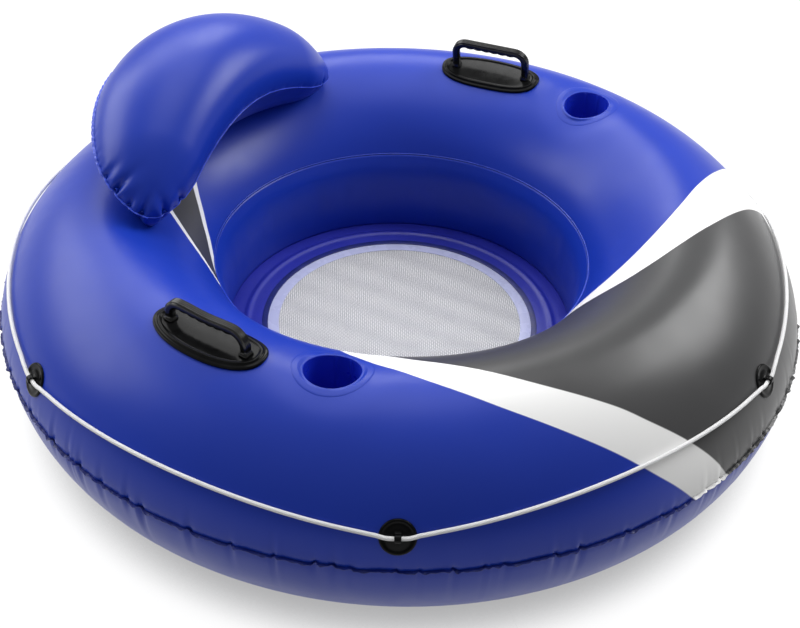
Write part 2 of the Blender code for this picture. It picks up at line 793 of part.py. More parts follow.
def headrest_surface(station, angle, inset=0.0):
    """The headrest's skin; the angle is 0 at the front seam and 180 at the back one."""
    width = headrest_width(station)
    share = width / HEADREST_HALF_WIDTH
    swing = math.radians(HEADREST_HALF_SPAN) * station
    tilt = math.radians(HEADREST_TILT + HEADREST_END_TWIST * station**2)
    side = -math.cos(math.radians(angle))
    bulge = math.sin(math.radians(angle))
    across = side * max(width - inset, 0.0)
    middle = CENTRE_RADIUS - HEADREST_INSET
    seam = SEAM_HEIGHT + CROWN_RISE + HEADREST_SEAM_LIFT - HEADREST_END_DROP * station**2
    if bulge >= 0.0:
        crown = HEADREST_CROWN * (1.0 + HEADREST_END_FULLNESS * station**2) * share
        rise = bulge * max(crown - inset, 0.0)
        across += HEADREST_CROWN_LEAN * rise
        drop = 0.0
    else:
        rise = 0.0
        drop = (-bulge) ** HEADREST_BELLY_POWER * max(HEADREST_BELLY * share - inset, 0.0)
    radius = HEADREST_CURVE + across * math.cos(tilt) - rise * math.sin(tilt)
    height = seam + across * math.sin(tilt) + rise * math.cos(tilt) - drop
    x = middle - HEADREST_CURVE + radius * math.cos(swing)
    y = radius * math.sin(swing)
    low = crown_height(math.hypot(x, y)) + HEADREST_CLEARANCE + inset
    if bulge < 0.0:
        height = max(height, low)
    turn = math.degrees(math.atan2(y, x)) + HEADREST_TURN
    return on_circle(turn, math.hypot(x, y), height)


def headrest_from_back(station, angle):
    """The same skin with its angle counted up from the back seam."""
    return headrest_surface(station, 180.0 - angle)


def headrest_stations():
    count = HEADREST_STATIONS
    return [math.sin(math.pi / 2.0 * i / count) for i in range(-count, count + 1)]


def headrest_rings(inset):
    """Rings round the headrest from one tip to the other, drawn in by the inset."""
    length = HEADREST_CURVE * math.radians(HEADREST_HALF_SPAN)
    rings = []
    for station in headrest_stations():
        if abs(station) == 1.0:
            tip = station * (1.0 - 1.5 * inset / length)
            front = headrest_surface(tip, 0.0, inset)
            back = headrest_surface(tip, 180.0, inset)
            rings.append((front + back) / 2.0)
            continue
        angles = [360.0 * i / HEADREST_SIDES for i in range(HEADREST_SIDES)]
        rings.append([headrest_surface(station, angle, inset) for angle in angles])
    return rings


def headrest(finish):
    pillow = build("headrest_pillow", headrest_rings(0.0), finish)
    boolean(pillow, build("headrest_air", headrest_rings(SKIN), finish))
    stations = headrest_stations()
    front = [(station, 0.0) for station in stations]
    back = [(station, 180.0) for station in stations[-2:0:-1]]
    seam = front + back
    points = [headrest_surface(*place) for place in seam]
    rings = []
    for i, point in enumerate(points):
        tangent = (points[(i + 1) % len(points)] - points[i - 1]).normalized()
        station = seam[i][0]
        tilt = math.radians(HEADREST_TILT + HEADREST_END_TWIST * station**2)
        turn = HEADREST_TURN + HEADREST_HALF_SPAN * station
        inwards = on_circle(turn, -math.sin(tilt), 0.0)
        up = (inwards + Vector((0.0, 0.0, math.cos(tilt)))).normalized()
        outward = up.cross(tangent).normalized()
        half = up * HEADREST_BAND_THICKNESS / 2.0
        near = point + outward * GAP
        far = point + outward * (GAP + HEADREST_BAND_REACH)
        rings.append([near - half, far - half, far + half, near + half])
    build("headrest_weld_band", rings, finish, closed=True)
    return pillow


def main_valve(skin, flange_finish, cap_finish, flap_finish):
    """Two-stage valve: a pull-out seat in the neck, a flap under it and a cap on top."""
    seat = Seat(tube_surface, MAIN_VALVE_TURN, MAIN_VALVE_ANGLE)
    lift = PAD_LIFT
    bore = VALVE_NECK_RADIUS - VALVE_NECK_WALL
    flange = lift + VALVE_FLANGE_THICKNESS
    rim = VALVE_NECK_RISE
    base = [
        ("lying", VALVE_FLANGE_RADIUS, lift),
        ("lying", VALVE_FLANGE_RADIUS - VALVE_FLANGE_THICKNESS / 2.0, flange),
        ("lying", VALVE_NECK_RADIUS + VALVE_NECK_WALL, flange),
        ("standing", VALVE_NECK_RADIUS, rim),
        ("standing", bore, rim),
        ("standing", bore, -VALVE_NECK_DEPTH),
        ("standing", VALVE_NECK_RADIUS, -VALVE_NECK_DEPTH),
        ("standing", VALVE_NECK_RADIUS, -VALVE_FLANGE_THICKNESS),
        ("lying", VALVE_NECK_RADIUS + VALVE_PLAY, lift),
    ]
    seat.turned("main_valve_base", base, flange_finish, closed=True)
    hole = standing_profile(
        [(0.0, -VALVE_NECK_DEPTH), (VALVE_NECK_RADIUS + GAP, -VALVE_NECK_DEPTH)]
        + [(VALVE_NECK_RADIUS + GAP, VALVE_NECK_DEPTH), (0.0, VALVE_NECK_DEPTH)]
    )
    boolean(skin, seat.turned("main_valve_hole", hole, flange_finish))

    plug = bore - VALVE_PLAY
    lip_low = rim + GAP
    lip_top = lip_low + SEAT_LIP
    plug_low = lip_low - SEAT_DEPTH
    hinge = VALVE_NECK_RADIUS + 2.0 * VALVE_NECK_WALL
    reach = hinge + bore
    plug_end = math.sqrt(reach**2 - SEAT_DEPTH**2) - hinge - 2.0 * VALVE_PLAY
    pocket = SEAT_BORE_RADIUS + FLAP_OVERLAP + 2.0 * VALVE_PLAY
    flap_roof = plug_low + 4.0 * FLAP_THICKNESS
    profile = standing_profile(
        [
            (SEAT_BORE_RADIUS, lip_top),
            (VALVE_NECK_RADIUS, lip_top),
            (VALVE_NECK_RADIUS, lip_low),
            (plug, lip_low),
            (plug_end, plug_low),
            (pocket, plug_low),
            (pocket, flap_roof),
            (SEAT_BORE_RADIUS, flap_roof),
        ]
    )
    plug_body = seat.turned("main_valve_seat", profile, flange_finish, closed=True)
    tab = tab_block(seat, "seat_tab", (VALVE_NECK_RADIUS - SEAT_LIP, hinge), lip_low, lip_top, cap_finish)
    boolean(plug_body, tab, "UNION")
    set_origin(plug_body, seat.frame(hinge, 0.0, (lip_low + lip_top) / 2.0))

    flap_top = flap_roof - GAP
    flap_radius = SEAT_BORE_RADIUS + FLAP_OVERLAP
    flap_profile = standing_profile(
        [(0.0, flap_top), (flap_radius, flap_top)]
        + [(flap_radius, flap_top - FLAP_THICKNESS), (0.0, flap_top - FLAP_THICKNESS)]
    )
    flap = seat.turned("main_valve_flap", flap_profile, flap_finish)
    set_origin(flap, seat.frame(flap_radius, 0.0, flap_top))
    cap(seat, "main_valve_cap", SEAT_BORE_RADIUS, lip_top, cap_finish)


def tab_block(seat, name, along, low, high, finish):
    """A hinge tab: a flat block on the side that its lengths point to."""
    width = 3.0 * SEAT_LIP
    corners = [(along[0], -width), (along[1], -width), (along[1], width), (along[0], width)]
    outline = [seat.standing(u, v / 2.0, low) for u, v in corners]
    return prism(name, outline, seat.normal * (high - low), finish)


def cap(seat, name, bore, face, finish):
    """A cap with a tapered stub in the bore and its hinge tab on the far side."""
    low = face + GAP
    top = low + CAP_THICKNESS
    stub = bore - VALVE_PLAY
    radius = bore + CAP_OVERLAP
    hinge = radius + CAP_OVERLAP / 2.0
    reach = hinge + bore
    stub_end = math.sqrt(reach**2 - CAP_STUB_DEPTH**2) - hinge - 2.0 * VALVE_PLAY
    profile = standing_profile(
        [
            (0.0, top),
            (radius - CAP_THICKNESS / 4.0, top),
            (radius, top - CAP_THICKNESS / 4.0),
            (radius, low),
            (stub, low),
            (stub_end, low - CAP_STUB_DEPTH),
            (0.0, low - CAP_STUB_DEPTH),
        ]
    )
    made = seat.turned(name, profile, finish)
    inside = radius - CAP_OVERLAP
    tab = tab_block(seat, name + "_tab", (-inside, -hinge), low, top - CAP_THICKNESS / 3.0, finish)
    boolean(made, tab, "UNION")
    set_origin(made, seat.frame(-hinge, 0.0, (low + top) / 2.0))


def headrest_valve(pillow, flange_finish, cap_finish):
    """A stem that pushes in flush, with a stopper, welded to the headrest's back."""
    seat = Seat(headrest_from_back, STEM_STATION, STEM_BACK_ANGLE)
    lift = PAD_LIFT
    flange = lift + STEM_FLANGE_THICKNESS
    bore = STEM_RADIUS + VALVE_PLAY
    base = [
        ("lying", STEM_FLANGE_RADIUS, lift),
        ("lying", STEM_FLANGE_RADIUS - STEM_FLANGE_THICKNESS / 2.0, flange),
        ("standing", bore + STEM_WALL, flange),
        ("standing", bore, flange),
        ("standing", bore, lift - STEM_FLANGE_THICKNESS),
        ("standing", bore + STEM_WALL, lift - STEM_FLANGE_THICKNESS),
        ("lying", bore + STEM_WALL + VALVE_PLAY, lift),
    ]
    seat.turned("headrest_valve_base", base, flange_finish, closed=True)
    hole = standing_profile(
        [(0.0, -STEM_RISE), (bore + STEM_WALL + GAP, -STEM_RISE)]
        + [(bore + STEM_WALL + GAP, STEM_RISE), (0.0, STEM_RISE)]
    )
    boolean(pillow, seat.turned("headrest_valve_hole", hole, flange_finish))
    inside = STEM_RADIUS - STEM_WALL
    lip = STEM_RADIUS + STEM_LIP
    profile = standing_profile(
        [
            (inside, STEM_RISE),
            (lip, STEM_RISE),
            (lip, STEM_RISE - STEM_LIP),
            (STEM_RADIUS, STEM_RISE - 2.0 * STEM_LIP),
            (STEM_RADIUS, -STEM_DEPTH),
            (inside, -STEM_DEPTH),
        ]
    )
    stem = seat.turned("headrest_valve_stem", profile, flange_finish, closed=True)
    set_origin(stem, seat.frame())
    cap(seat, "headrest_valve_stopper", inside, STEM_RISE, cap_finish)


def make_river_tube():
    clear_scene()
    blue = material("blue_vinyl", (0.035, 0.075, 0.52), 0.28)
    clear = material("clear_vinyl", (0.45, 0.45, 0.72), 0.25, alpha=0.6)
    net_grey = material("net_grey", (0.62, 0.62, 0.66), 0.6)
    black = material("black_fitting", (0.012, 0.012, 0.013), 0.22)
    rope_white = material("rope_white", (0.85, 0.85, 0.86), 0.7)
    milky = material("milky_plastic", (0.78, 0.80, 0.84), 0.3)

    crown = upper_skin(blue)
    lower_skin(blue)
    weld_bands(blue)
    seat_well(blue)
    mesh_floor(clear, net_grey)
    for name, turn in CUP_TURNS.items():
        cup_holder(name, turn, crown, blue)
    for side, (turn, angle) in HANDLES.items():
        seat = Seat(tube_surface, turn, angle)
        handle_base(side, seat, black)
        handle_grip(side, seat, black)
    for number, (turn, angle, _) in enumerate(ROPE_PATCHES, start=1):
        rope_patch(f"rope_patch_{number}", Seat(tube_surface, turn, angle), black)
    grab_rope(rope_white)
    pillow = headrest(blue)
    main_valve(crown, milky, milky, milky)
    headrest_valve(pillow, milky, milky)


make_river_tube()
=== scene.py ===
import functools
import math
import random

import bpy
import numpy as np
from mathutils import Matrix, Vector


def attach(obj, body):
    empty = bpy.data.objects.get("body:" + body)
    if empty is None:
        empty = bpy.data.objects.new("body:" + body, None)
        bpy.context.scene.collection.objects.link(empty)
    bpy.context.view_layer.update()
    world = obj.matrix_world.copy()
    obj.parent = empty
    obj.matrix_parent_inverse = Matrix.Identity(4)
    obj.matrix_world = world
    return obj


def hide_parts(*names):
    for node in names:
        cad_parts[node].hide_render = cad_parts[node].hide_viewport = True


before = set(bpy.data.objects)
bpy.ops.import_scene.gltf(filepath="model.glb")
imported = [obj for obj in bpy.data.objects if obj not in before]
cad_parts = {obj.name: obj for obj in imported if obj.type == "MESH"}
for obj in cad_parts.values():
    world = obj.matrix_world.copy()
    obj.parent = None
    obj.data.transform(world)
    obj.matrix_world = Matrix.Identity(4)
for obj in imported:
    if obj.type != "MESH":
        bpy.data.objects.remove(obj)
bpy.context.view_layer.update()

# Sizes shared with the part, in metres and degrees
OUTER_RADIUS = 0.650
TUBE_HALF_WIDTH = 0.1775
SEAM_HEIGHT = 0.1734
CROWN_RISE = 0.1696
CROWN_POWER = 1.67
BELLY_POWER = 2.20
REST_FLATTENING = 0.002
GAP = 0.0003
PAD_LIFT = 0.0009
CENTRE_RADIUS = OUTER_RADIUS - TUBE_HALF_WIDTH
INNER_RADIUS = CENTRE_RADIUS - TUBE_HALF_WIDTH

BAND_THICKNESS = 0.0016
INNER_SEAM_RISE = 0.0496

WALL_THICKNESS = 0.0010
WALL_CLEARANCE = 0.0012
WALL_FLARE = 0.0022
WALL_FACE = INNER_RADIUS - WALL_CLEARANCE
WALL_FOOT = WALL_FACE + WALL_FLARE
LEDGE_HEIGHT = 0.0770
LEDGE_WIDTH = 0.0600
LEDGE_EDGE = WALL_FOOT - LEDGE_WIDTH
LEDGE_THICKNESS = 0.0010
RIDGE_INSET = 0.0330
RIDGE_RISE = 0.0045
BORDER_OVERLAP = 0.0060
BORDER_WIDTH = 0.0330
BORDER_THICKNESS = 0.0009
BORDER_TOP = LEDGE_HEIGHT - LEDGE_THICKNESS - GAP
BORDER_INSIDE = LEDGE_EDGE + BORDER_OVERLAP - BORDER_WIDTH

# The net's yarns run in families, each with its bearing and its level
NET_THICKNESS = 0.0010
NET_HOLD = 0.0035
NET_PITCH = 0.0034
NET_FAMILIES = ((32.0, 0.00022), (148.0, -0.00022), (90.0, 0.0))
YARN_HALF_WIDTH = 0.00058
YARN_HALF_HEIGHT = 0.00030
SHORTEST_YARN = 0.008

CUP_TURNS = {"left": -162.7, "right": -17.7}
CUP_INSET = 0.0205
CUP_RADIUS = 0.0425
CUP_DEPTH = 0.085
CUP_TAPER = 0.004
CUP_CORNER = 0.010
CUP_FLANGE = 0.0130
CUP_HOLE_RADIUS = CUP_RADIUS + CUP_FLANGE - 0.0095
CUP_BEARINGS = [2.5 * i for i in range(144)]

# How the cups' mouths lie: how far outwards of the well, below the crown, and how they lean
CUP_MOUTH_RADIUS = 0.0390
CUP_MOUTHS = {"left": (0.0030, 0.0046, 0.08), "right": (-0.0030, 0.0040, 0.12)}
CUP_DIP = 0.0020
CUP_DIP_REACH = 0.022
CUP_MOUTH_LEVEL = 0.45

# Upright creases inside the cups, by their bearing from the side away from the camera
CUP_CREASES = (-4.0, -38.0, 118.0)
CUP_CREASE_DEPTH = 0.0016
CUP_CREASE_WIDTH = 0.0018

HANDLES = {"left": (175.2, 90.0), "right": (7.9, 100.3)}
HANDLE_BASE_LENGTH = 0.186
HANDLE_BASE_WIDTH = 0.080
HANDLE_BASE_POWER = 2.5
HANDLE_BASE_THICKNESS = 0.0035
HANDLE_BASE_TOP = PAD_LIFT + HANDLE_BASE_THICKNESS
BEAD_INSET = 0.0090
BASE_DISH = 0.0014
GRIP_SPAN = 0.132
GRIP_HEIGHTS = {"left": 0.042, "right": 0.065}
GRIP_SAGS = {"left": 0.002, "right": 0.0}
GRIP_THICKNESS = 0.0125
GRIP_TOP_WIDTH = 0.0125
GRIP_BEND = 0.020
FINGER_BUMPS = 6
FINGER_BUMP_RISE = 0.0022

# Each patch has its turn, its section angle and the rope's rise on the way to the next patch
ROPE_PATCHES = (
    (-206.6, 19.0, 7.5),
    (-151.1, 17.0, 8.0),
    (-93.8, 25.0, 12.0),
    (-33.0, 19.0, 8.0),
    (27.0, 19.0, 8.0),
    (88.0, 19.0, 8.0),
)
PATCH_RADIUS = 0.025
PATCH_THICKNESS = 0.002
EYELET_WIDTH = 0.009
EYELET_WALL = 0.0025
ROPE_RADIUS = 0.003
ROPE_FREE_PLAY = 0.0006
BRAID_PITCH = 0.0075
ROPE_LIFT = 0.0050
ROPE_CROSSING = (0.4, 1.2)
KNOT_TURN = 57.0
KNOT_LENGTH = 0.024
KNOT_WIDTH = 0.015
KNOT_COILS = 3.0
KNOT_COIL_RADIUS = 0.0042

HEADREST_TURN = 92.7
HEADREST_INSET = 0.0773
HEADREST_CURVE = 0.4363
HEADREST_HALF_SPAN = 39.1
HEADREST_HALF_WIDTH = 0.1127
HEADREST_TAPER = 0.0651
HEADREST_END_START = 0.724
HEADREST_END_POWER = 2.2
HEADREST_SEAM_LIFT = 0.0908
HEADREST_END_DROP = 0.0841
HEADREST_TILT = 9.3
HEADREST_END_TWIST = 8.6
HEADREST_CROWN = 0.0911
HEADREST_END_FULLNESS = 0.19
HEADREST_CROWN_LEAN = -0.235
HEADREST_BELLY = 0.110
HEADREST_BELLY_POWER = 2.0
HEADREST_TUCKED_POWER = 3.0
HEADREST_TUCK_START = 0.40
HEADREST_TUCK_REACH = 0.45
HEADREST_CLEARANCE = 0.0010
HEADREST_BAND_REACH = 0.005
HEADREST_BAND_THICKNESS = 0.0012
HEADREST_EDGE_WAVES = ((1.0, 600.0, 0.0), (0.8, 437.0, 2.0), (0.6, 231.0, 4.0))

MAIN_VALVE_TURN = 48.0
MAIN_VALVE_ANGLE = 42.0
VALVE_FLANGE_RADIUS = 0.028
VALVE_FLANGE_THICKNESS = 0.0022
VALVE_NECK_RADIUS = 0.0172
VALVE_NECK_WALL = 0.0018
VALVE_NECK_RISE = 0.0045
VALVE_NECK_DEPTH = 0.013
SEAT_LIP = 0.0022
STRAP_WIDTH = 3.0 * SEAT_LIP
SEAT_DEPTH = 0.0100
SEAT_BORE_RADIUS = 0.0085
FLAP_THICKNESS = 0.0010
FLAP_OVERLAP = 0.0015
CAP_THICKNESS = 0.0026
CAP_OVERLAP = 0.0035
CAP_STUB_DEPTH = 0.0040
VALVE_PLAY = 0.0004

STEM_STATION = -0.15
STEM_BACK_ANGLE = -22.0
STEM_FLANGE_RADIUS = 0.0170
STEM_FLANGE_THICKNESS = 0.0016
STEM_RADIUS = 0.0068
STEM_WALL = 0.0016
STEM_RISE = 0.0150
STEM_DEPTH = 0.0060
STEM_LIP = 0.0016

# Fineness of the dressed surfaces
RING_COLUMNS = 960
WELL_COLUMNS = 480
UPPER_ROWS = 54
UPPER_EVENNESS = 0.35
LOWER_ROWS = 36
LOWER_EVENNESS = 0.4
CROWN_SMOOTHING = 7.0
CROWN_BLEND = 20.0

# Creases that the weld draws into the skins along the outer seam
CREASE_SEED = 11
CREASE_SPACING = (0.024, 0.070)
CREASE_DEPTH = (0.0018, 0.0044)
CREASE_WIDTH = (0.0026, 0.0044)
CREASE_UP = (0.006, 0.018)
CREASE_DOWN = (0.010, 0.034)
SEAM_JOG = (0.0008, 0.0030)
SEAM_JOG_WIDTH = 0.012
SEAM_VALLEY = 0.0012
SEAM_VALLEY_WIDTH = 0.004
SEAM_REACH = 0.0032

# The photograph's camera and light
CAMERA_PLACE = (-1.4868, -0.8005, 1.3959)
CAMERA_ROLL = 1.877
FOCAL_PIXELS = 1234.24
PICTURE_WIDTH = 800
PICTURE_HEIGHT = 628
PRINCIPAL = (398.55, 352.52)
CAMERA_BEARING = math.degrees(math.atan2(CAMERA_PLACE[1], CAMERA_PLACE[0]))
LIGHTS_AIM = (0.0, 0.0, 0.2)
SKY_ELEVATION = 68.0
FLOOR_REACH = 300.0


def on_circle(turn, radius, height):
    bearing = math.radians(turn)
    return Vector((radius * math.cos(bearing), radius * math.sin(bearing), height))


def turns_round(columns, first=0.0):
    """Bearings in radians, evenly all round."""
    return np.radians(first + np.arange(columns) * 360.0 / columns)


def section_point(angle):
    """The skin's offset from the tube's centre line, outwards and up."""
    across = math.cos(math.radians(angle))
    up = math.sin(math.radians(angle))
    belly = up < 0.0
    rise = SEAM_HEIGHT + REST_FLATTENING if belly else CROWN_RISE
    power = BELLY_POWER if belly else CROWN_POWER
    total = abs(across / TUBE_HALF_WIDTH) ** power + abs(up / rise) ** power
    reach = total ** (-1.0 / power)
    return across * reach, max(up * reach, -SEAM_HEIGHT)


def tube_surface(turn, angle):
    across, up = section_point(angle)
    return on_circle(turn, CENTRE_RADIUS + across, SEAM_HEIGHT + up)


def crown_height(radius):
    share = min(abs(radius - CENTRE_RADIUS) / TUBE_HALF_WIDTH, 1.0)
    return SEAM_HEIGHT + CROWN_RISE * (1.0 - share**CROWN_POWER) ** (1.0 / CROWN_POWER)


def angle_at_rise(rise, low, high):
    falling = section_point(high)[1] < section_point(low)[1]
    for _ in range(50):
        middle = (low + high) / 2.0
        if (section_point(middle)[1] > rise) == falling:
            low = middle
        else:
            high = middle
    return (low + high) / 2.0


def spread(low, high, steps):
    return [low + (high - low) * i / steps for i in range(steps + 1)]


def eased_share(share):
    share = min(max(share, 0.0), 1.0)
    return share * share * (3.0 - 2.0 * share)


class Seat:
    """A place on a curved surface, for pieces that lie on it or stand out of it."""

    STEP = 0.001

    def __init__(self, surface, first, second):
        self.surface = surface
        self.first = first
        self.second = second
        self.point = surface(first, second)
        along, across, self.normal = self.tangents(first, second)
        self.along = along.normalized()
        self.across = self.normal.cross(self.along)
        self.first_rate = along.length
        self.second_rate = across.dot(self.across)
        self.skew = across.dot(self.along)

    def tangents(self, first, second):
        step = self.STEP
        along = self.surface(first + step, second) - self.surface(first - step, second)
        across = self.surface(first, second + step) - self.surface(first, second - step)
        normal = along.cross(across).normalized()
        return along / (2.0 * step), across / (2.0 * step), normal

    def lying(self, u, v, lift):
        second = v / self.second_rate
        first = (u - second * self.skew) / self.first_rate
        place = (self.first + first, self.second + second)
        return self.surface(*place) + self.tangents(*place)[2] * lift

    def standing(self, u, v, height):
        return self.point + self.along * u + self.across * v + self.normal * height

    def height_of(self, point):
        return (point - self.point).dot(self.normal)


# Meshes


def rows_mesh(name, points, finish, node=None, body="tube", around=True, closed=False, uv=None, keep=None):
    """Quads over rows and columns of points; rows may run all round, columns may close."""
    points = np.asarray(points, float)
    rows, columns = points.shape[:2]
    first, second = np.meshgrid(
        np.arange(rows if around else rows - 1),
        np.arange(columns if closed else columns - 1),
        indexing="ij",
    )
    if keep is not None:
        first, second = first[keep], second[keep]
    first, second = first.ravel(), second.ravel()
    after, beyond = (first + 1) % rows, (second + 1) % columns
    corners = ((first, second), (after, second), (after, beyond), (first, beyond))
    quads = np.stack([row * columns + column for row, column in corners], axis=1)
    used, quads_used = np.unique(quads, return_inverse=True)
    mesh = bpy.data.meshes.new(name)
    mesh.from_pydata(points.reshape(-1, 3)[used].tolist(), [], quads_used.reshape(quads.shape).tolist())
    if uv is not None:
        u, v = (np.asarray(line, float) for line in uv)
        corner_u = np.stack([u[first], u[first + 1], u[first + 1], u[first]], axis=1)
        corner_v = np.stack([v[second], v[second], v[second + 1], v[second + 1]], axis=1)
        layer = mesh.uv_layers.new(name="print")
        layer.data.foreach_set("uv", np.stack([corner_u, corner_v], axis=2).ravel())
    return finished(name, mesh, finish, node, body)


def rings_mesh(name, rings, finish, node=None, body="tube", closed=False):
    """Rings of equally many points, or single end points, joined into one body."""
    points = []
    lines = []
    for ring in rings:
        ring = [ring] if isinstance(ring, Vector) else ring
        lines.append(range(len(points), len(points) + len(ring)))
        points += ring
    pairs = list(zip(lines[:-1], lines[1:]))
    if closed:
        pairs.append((lines[-1], lines[0]))
    faces = []
    for low, high in pairs:
        count = max(len(low), len(high))
        for i in range(count):
            j = (i + 1) % count
            corners = [low[i % len(low)], low[j % len(low)]]
            corners += [high[j % len(high)], high[i % len(high)]]
            faces.append(list(dict.fromkeys(corners)))
    mesh = bpy.data.meshes.new(name)
    mesh.from_pydata(points, [], faces)
    return finished(name, mesh, finish, node, body)


def finished(name, mesh, finish, node=None, body="tube"):
    """A piece on its body, with its finish's material, in place of the solid whose node is given."""
    mesh.validate()
    mesh.shade_smooth()
    mesh.materials.append(finish.material)
    piece = bpy.data.objects.new(name, mesh)
    bpy.context.scene.collection.objects.link(piece)
    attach(piece, body)
    if node:
        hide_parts(node)
    return piece


def capped(rings):
    """Rings with a point in the middle of each end, which closes the body they make."""
    first, last = (sum(ring, Vector()) / len(ring) for ring in (rings[0], rings[-1]))
    return [first, *rings, last]


def round_rows(turns, radius, height):
    """Rows of points at the given bearings, from their radii and heights."""
    shape = (len(turns), np.shape(radius)[-1])
    radius = np.broadcast_to(radius, shape)
    height = np.broadcast_to(height, shape)
    return np.stack([np.cos(turns)[:, None] * radius, np.sin(turns)[:, None] * radius, height], axis=2)


def turned_about_z(name, profile, finish, node=None, columns=WELL_COLUMNS):
    """Radii and heights, turned about +Z; the profile runs up the outside and in over the top."""
    radius, height = np.asarray(profile, float).T
    points = round_rows(turns_round(columns), radius, height)
    return rows_mesh(name, points, finish, node, closed=True)


def rounded(corners, radius, steps=4):
    """A closed outline of 2-D points with each corner rounded."""
    made = []
    count = len(corners)
    for i, corner in enumerate(corners):
        corner = np.asarray(corner, float)
        before = np.asarray(corners[i - 1], float) - corner
        after = np.asarray(corners[(i + 1) % count], float) - corner
        reach = min(radius, 0.45 * np.linalg.norm(before), 0.45 * np.linalg.norm(after))
        start = corner + before / np.linalg.norm(before) * reach
        end = corner + after / np.linalg.norm(after) * reach
        for step in range(steps + 1):
            share = step / steps
            made.append(
                (1.0 - share) ** 2 * start + 2.0 * share * (1.0 - share) * corner + share**2 * end
            )
    return made


# Materials


class Nodes:
    """A node tree with shortcuts to its nodes."""

    def __init__(self, tree):
        self.tree = tree

    def node(self, kind, **values):
        made = self.tree.nodes.new(kind)
        for key, value in values.items():
            setattr(made, key, value)
        return made

    def link(self, source, target):
        self.tree.links.new(source, target)

    def put(self, socket, value):
        """A number or colour on a socket, or a link from another one."""
        if isinstance(value, bpy.types.NodeSocket):
            self.link(value, socket)
        else:
            socket.default_value = (*value, 1.0) if isinstance(value, tuple) else value

    def math(self, operation, first, second=0.0, clamp=False):
        made = self.node("ShaderNodeMath", operation=operation, use_clamp=clamp)
        self.put(made.inputs[0], first)
        self.put(made.inputs[1], second)
        return made.outputs[0]

    def times(self, first, second):
        return self.math("MULTIPLY", first, second)

    def minus(self, first, second, clamp=False):
        return self.math("SUBTRACT", first, second, clamp)

    def mix(self, share, first, second):
        made = self.node("ShaderNodeMix", data_type="RGBA")
        for socket, value in zip((made.inputs[0], made.inputs[6], made.inputs[7]), (share, first, second)):
            self.put(socket, value)
        return made.outputs[2]

    def noise(self, scale, detail=2.0, roughness=0.5):
        made = self.node("ShaderNodeTexNoise")
        for key, number in (("Scale", scale), ("Detail", detail), ("Roughness", roughness)):
            made.inputs[key].default_value = number
        self.link(self.node("ShaderNodeTexCoord").outputs["Object"], made.inputs["Vector"])
        return made.outputs["Fac"]

    def between(self, value, low, high, out_low=0.0, out_high=1.0, smooth=False):
        made = self.node("ShaderNodeMapRange")
        if smooth:
            made.interpolation_type = "SMOOTHSTEP"
        self.put(made.inputs["Value"], value)
        numbers = {"From Min": low, "From Max": high, "To Min": out_low, "To Max": out_high}
        for key, number in numbers.items():
            made.inputs[key].default_value = number
        return made.outputs["Result"]

    def drifting(self, noise, low=0.0, high=1.0):
        """A number that drifts between two, by a noise of the given scale and detail."""
        return self.between(self.noise(*noise), 0.3, 0.7, low, high)

    def print_place(self):
        """The two coordinates of the print map."""
        parts = self.node("ShaderNodeSeparateXYZ")
        self.link(self.node("ShaderNodeUVMap", uv_map="print").outputs[0], parts.inputs[0])
        return parts.outputs[0], parts.outputs[1]

    def bump(self, height, distance, strength=1.0, normal=None):
        made = self.node("ShaderNodeBump")
        made.inputs["Strength"].default_value = strength
        made.inputs["Distance"].default_value = distance
        self.link(height, made.inputs["Height"])
        if normal is not None:
            self.link(normal, made.inputs["Normal"])
        return made.outputs["Normal"]

    def relief(self, *layers):
        """Bumps laid one on another: the scale and detail of each one's noise, its height and strength."""
        normal = None
        for scale, detail, distance, strength in layers:
            normal = self.bump(self.noise(scale, detail), distance, strength, normal)
        return normal

    def curve(self, value, points):
        """A smooth curve through points, both of its sides from 0 to 1."""
        made = self.node("ShaderNodeFloatCurve")
        line = made.mapping.curves[0]
        points = sorted(points)
        line.points[0].location = points[0]
        line.points[1].location = points[-1]
        for point in points[1:-1]:
            line.points.new(*point)
        made.mapping.update()
        self.put(made.inputs["Value"], value)
        return made.outputs[0]


class Finish(Nodes):
    """A material under construction, and the part's material slot that it belongs to."""

    def __init__(self, name, slot=None):
        self.slot = slot
        self.material = bpy.data.materials.new(name)
        self.material.use_nodes = True
        super().__init__(self.material.node_tree)
        self.shader = self.tree.nodes["Principled BSDF"]

    def surface(self, colour, roughness, normal, **values):
        self.put(self.shader.inputs["Base Color"], colour)
        self.put(self.shader.inputs["Roughness"], roughness)
        self.put(self.shader.inputs["Normal"], normal)
        for key, value in values.items():
            self.shader.inputs[key.replace("_", " ")].default_value = value
        return self


BLUE = (0.0080, 0.038, 0.41)
DEEP_BLUE = (0.0065, 0.032, 0.36)
# Weld colours: darker than the blue, partly for the doubled sheet and partly painted shade in the seam's
# groove.
PAINTED_SHADE_WELD_BLUE = (0.0035, 0.009, 0.115)
PALE_PAINTED_SHADE_WELD_BLUE = (0.006, 0.016, 0.18)
PRINT_WHITE = (0.91, 0.91, 0.905)
PRINT_GREY = (0.058, 0.058, 0.060)
VINYL_GLOSS = 0.30
PRINT_POLISH = 0.05


def vinyl_skin(finish):
    """Colour, roughness and relief that every blue sheet shares."""
    colour = finish.mix(finish.drifting((3.2, 3.0)), BLUE, DEEP_BLUE)
    normal = finish.relief((7.0, 1.0, 0.0012, 1.0), (900.0, 2.0, 0.00002, 0.3))
    return colour, finish.drifting((26.0, 4.0), 0.33, 0.38), normal


def weld_sheets_painted_shade(finish):
    """Two sheets pressed together: darker, partly for the doubled sheet and partly as painted shade of the
    groove where they meet, with the fine ribs of the welding tool.
    """
    colour = finish.mix(finish.drifting((40.0, 3.0)), PAINTED_SHADE_WELD_BLUE, PALE_PAINTED_SHADE_WELD_BLUE)
    return colour, finish.drifting((60.0,), 0.30, 0.45), finish.relief((260.0, 2.0, 0.0004, 0.7))


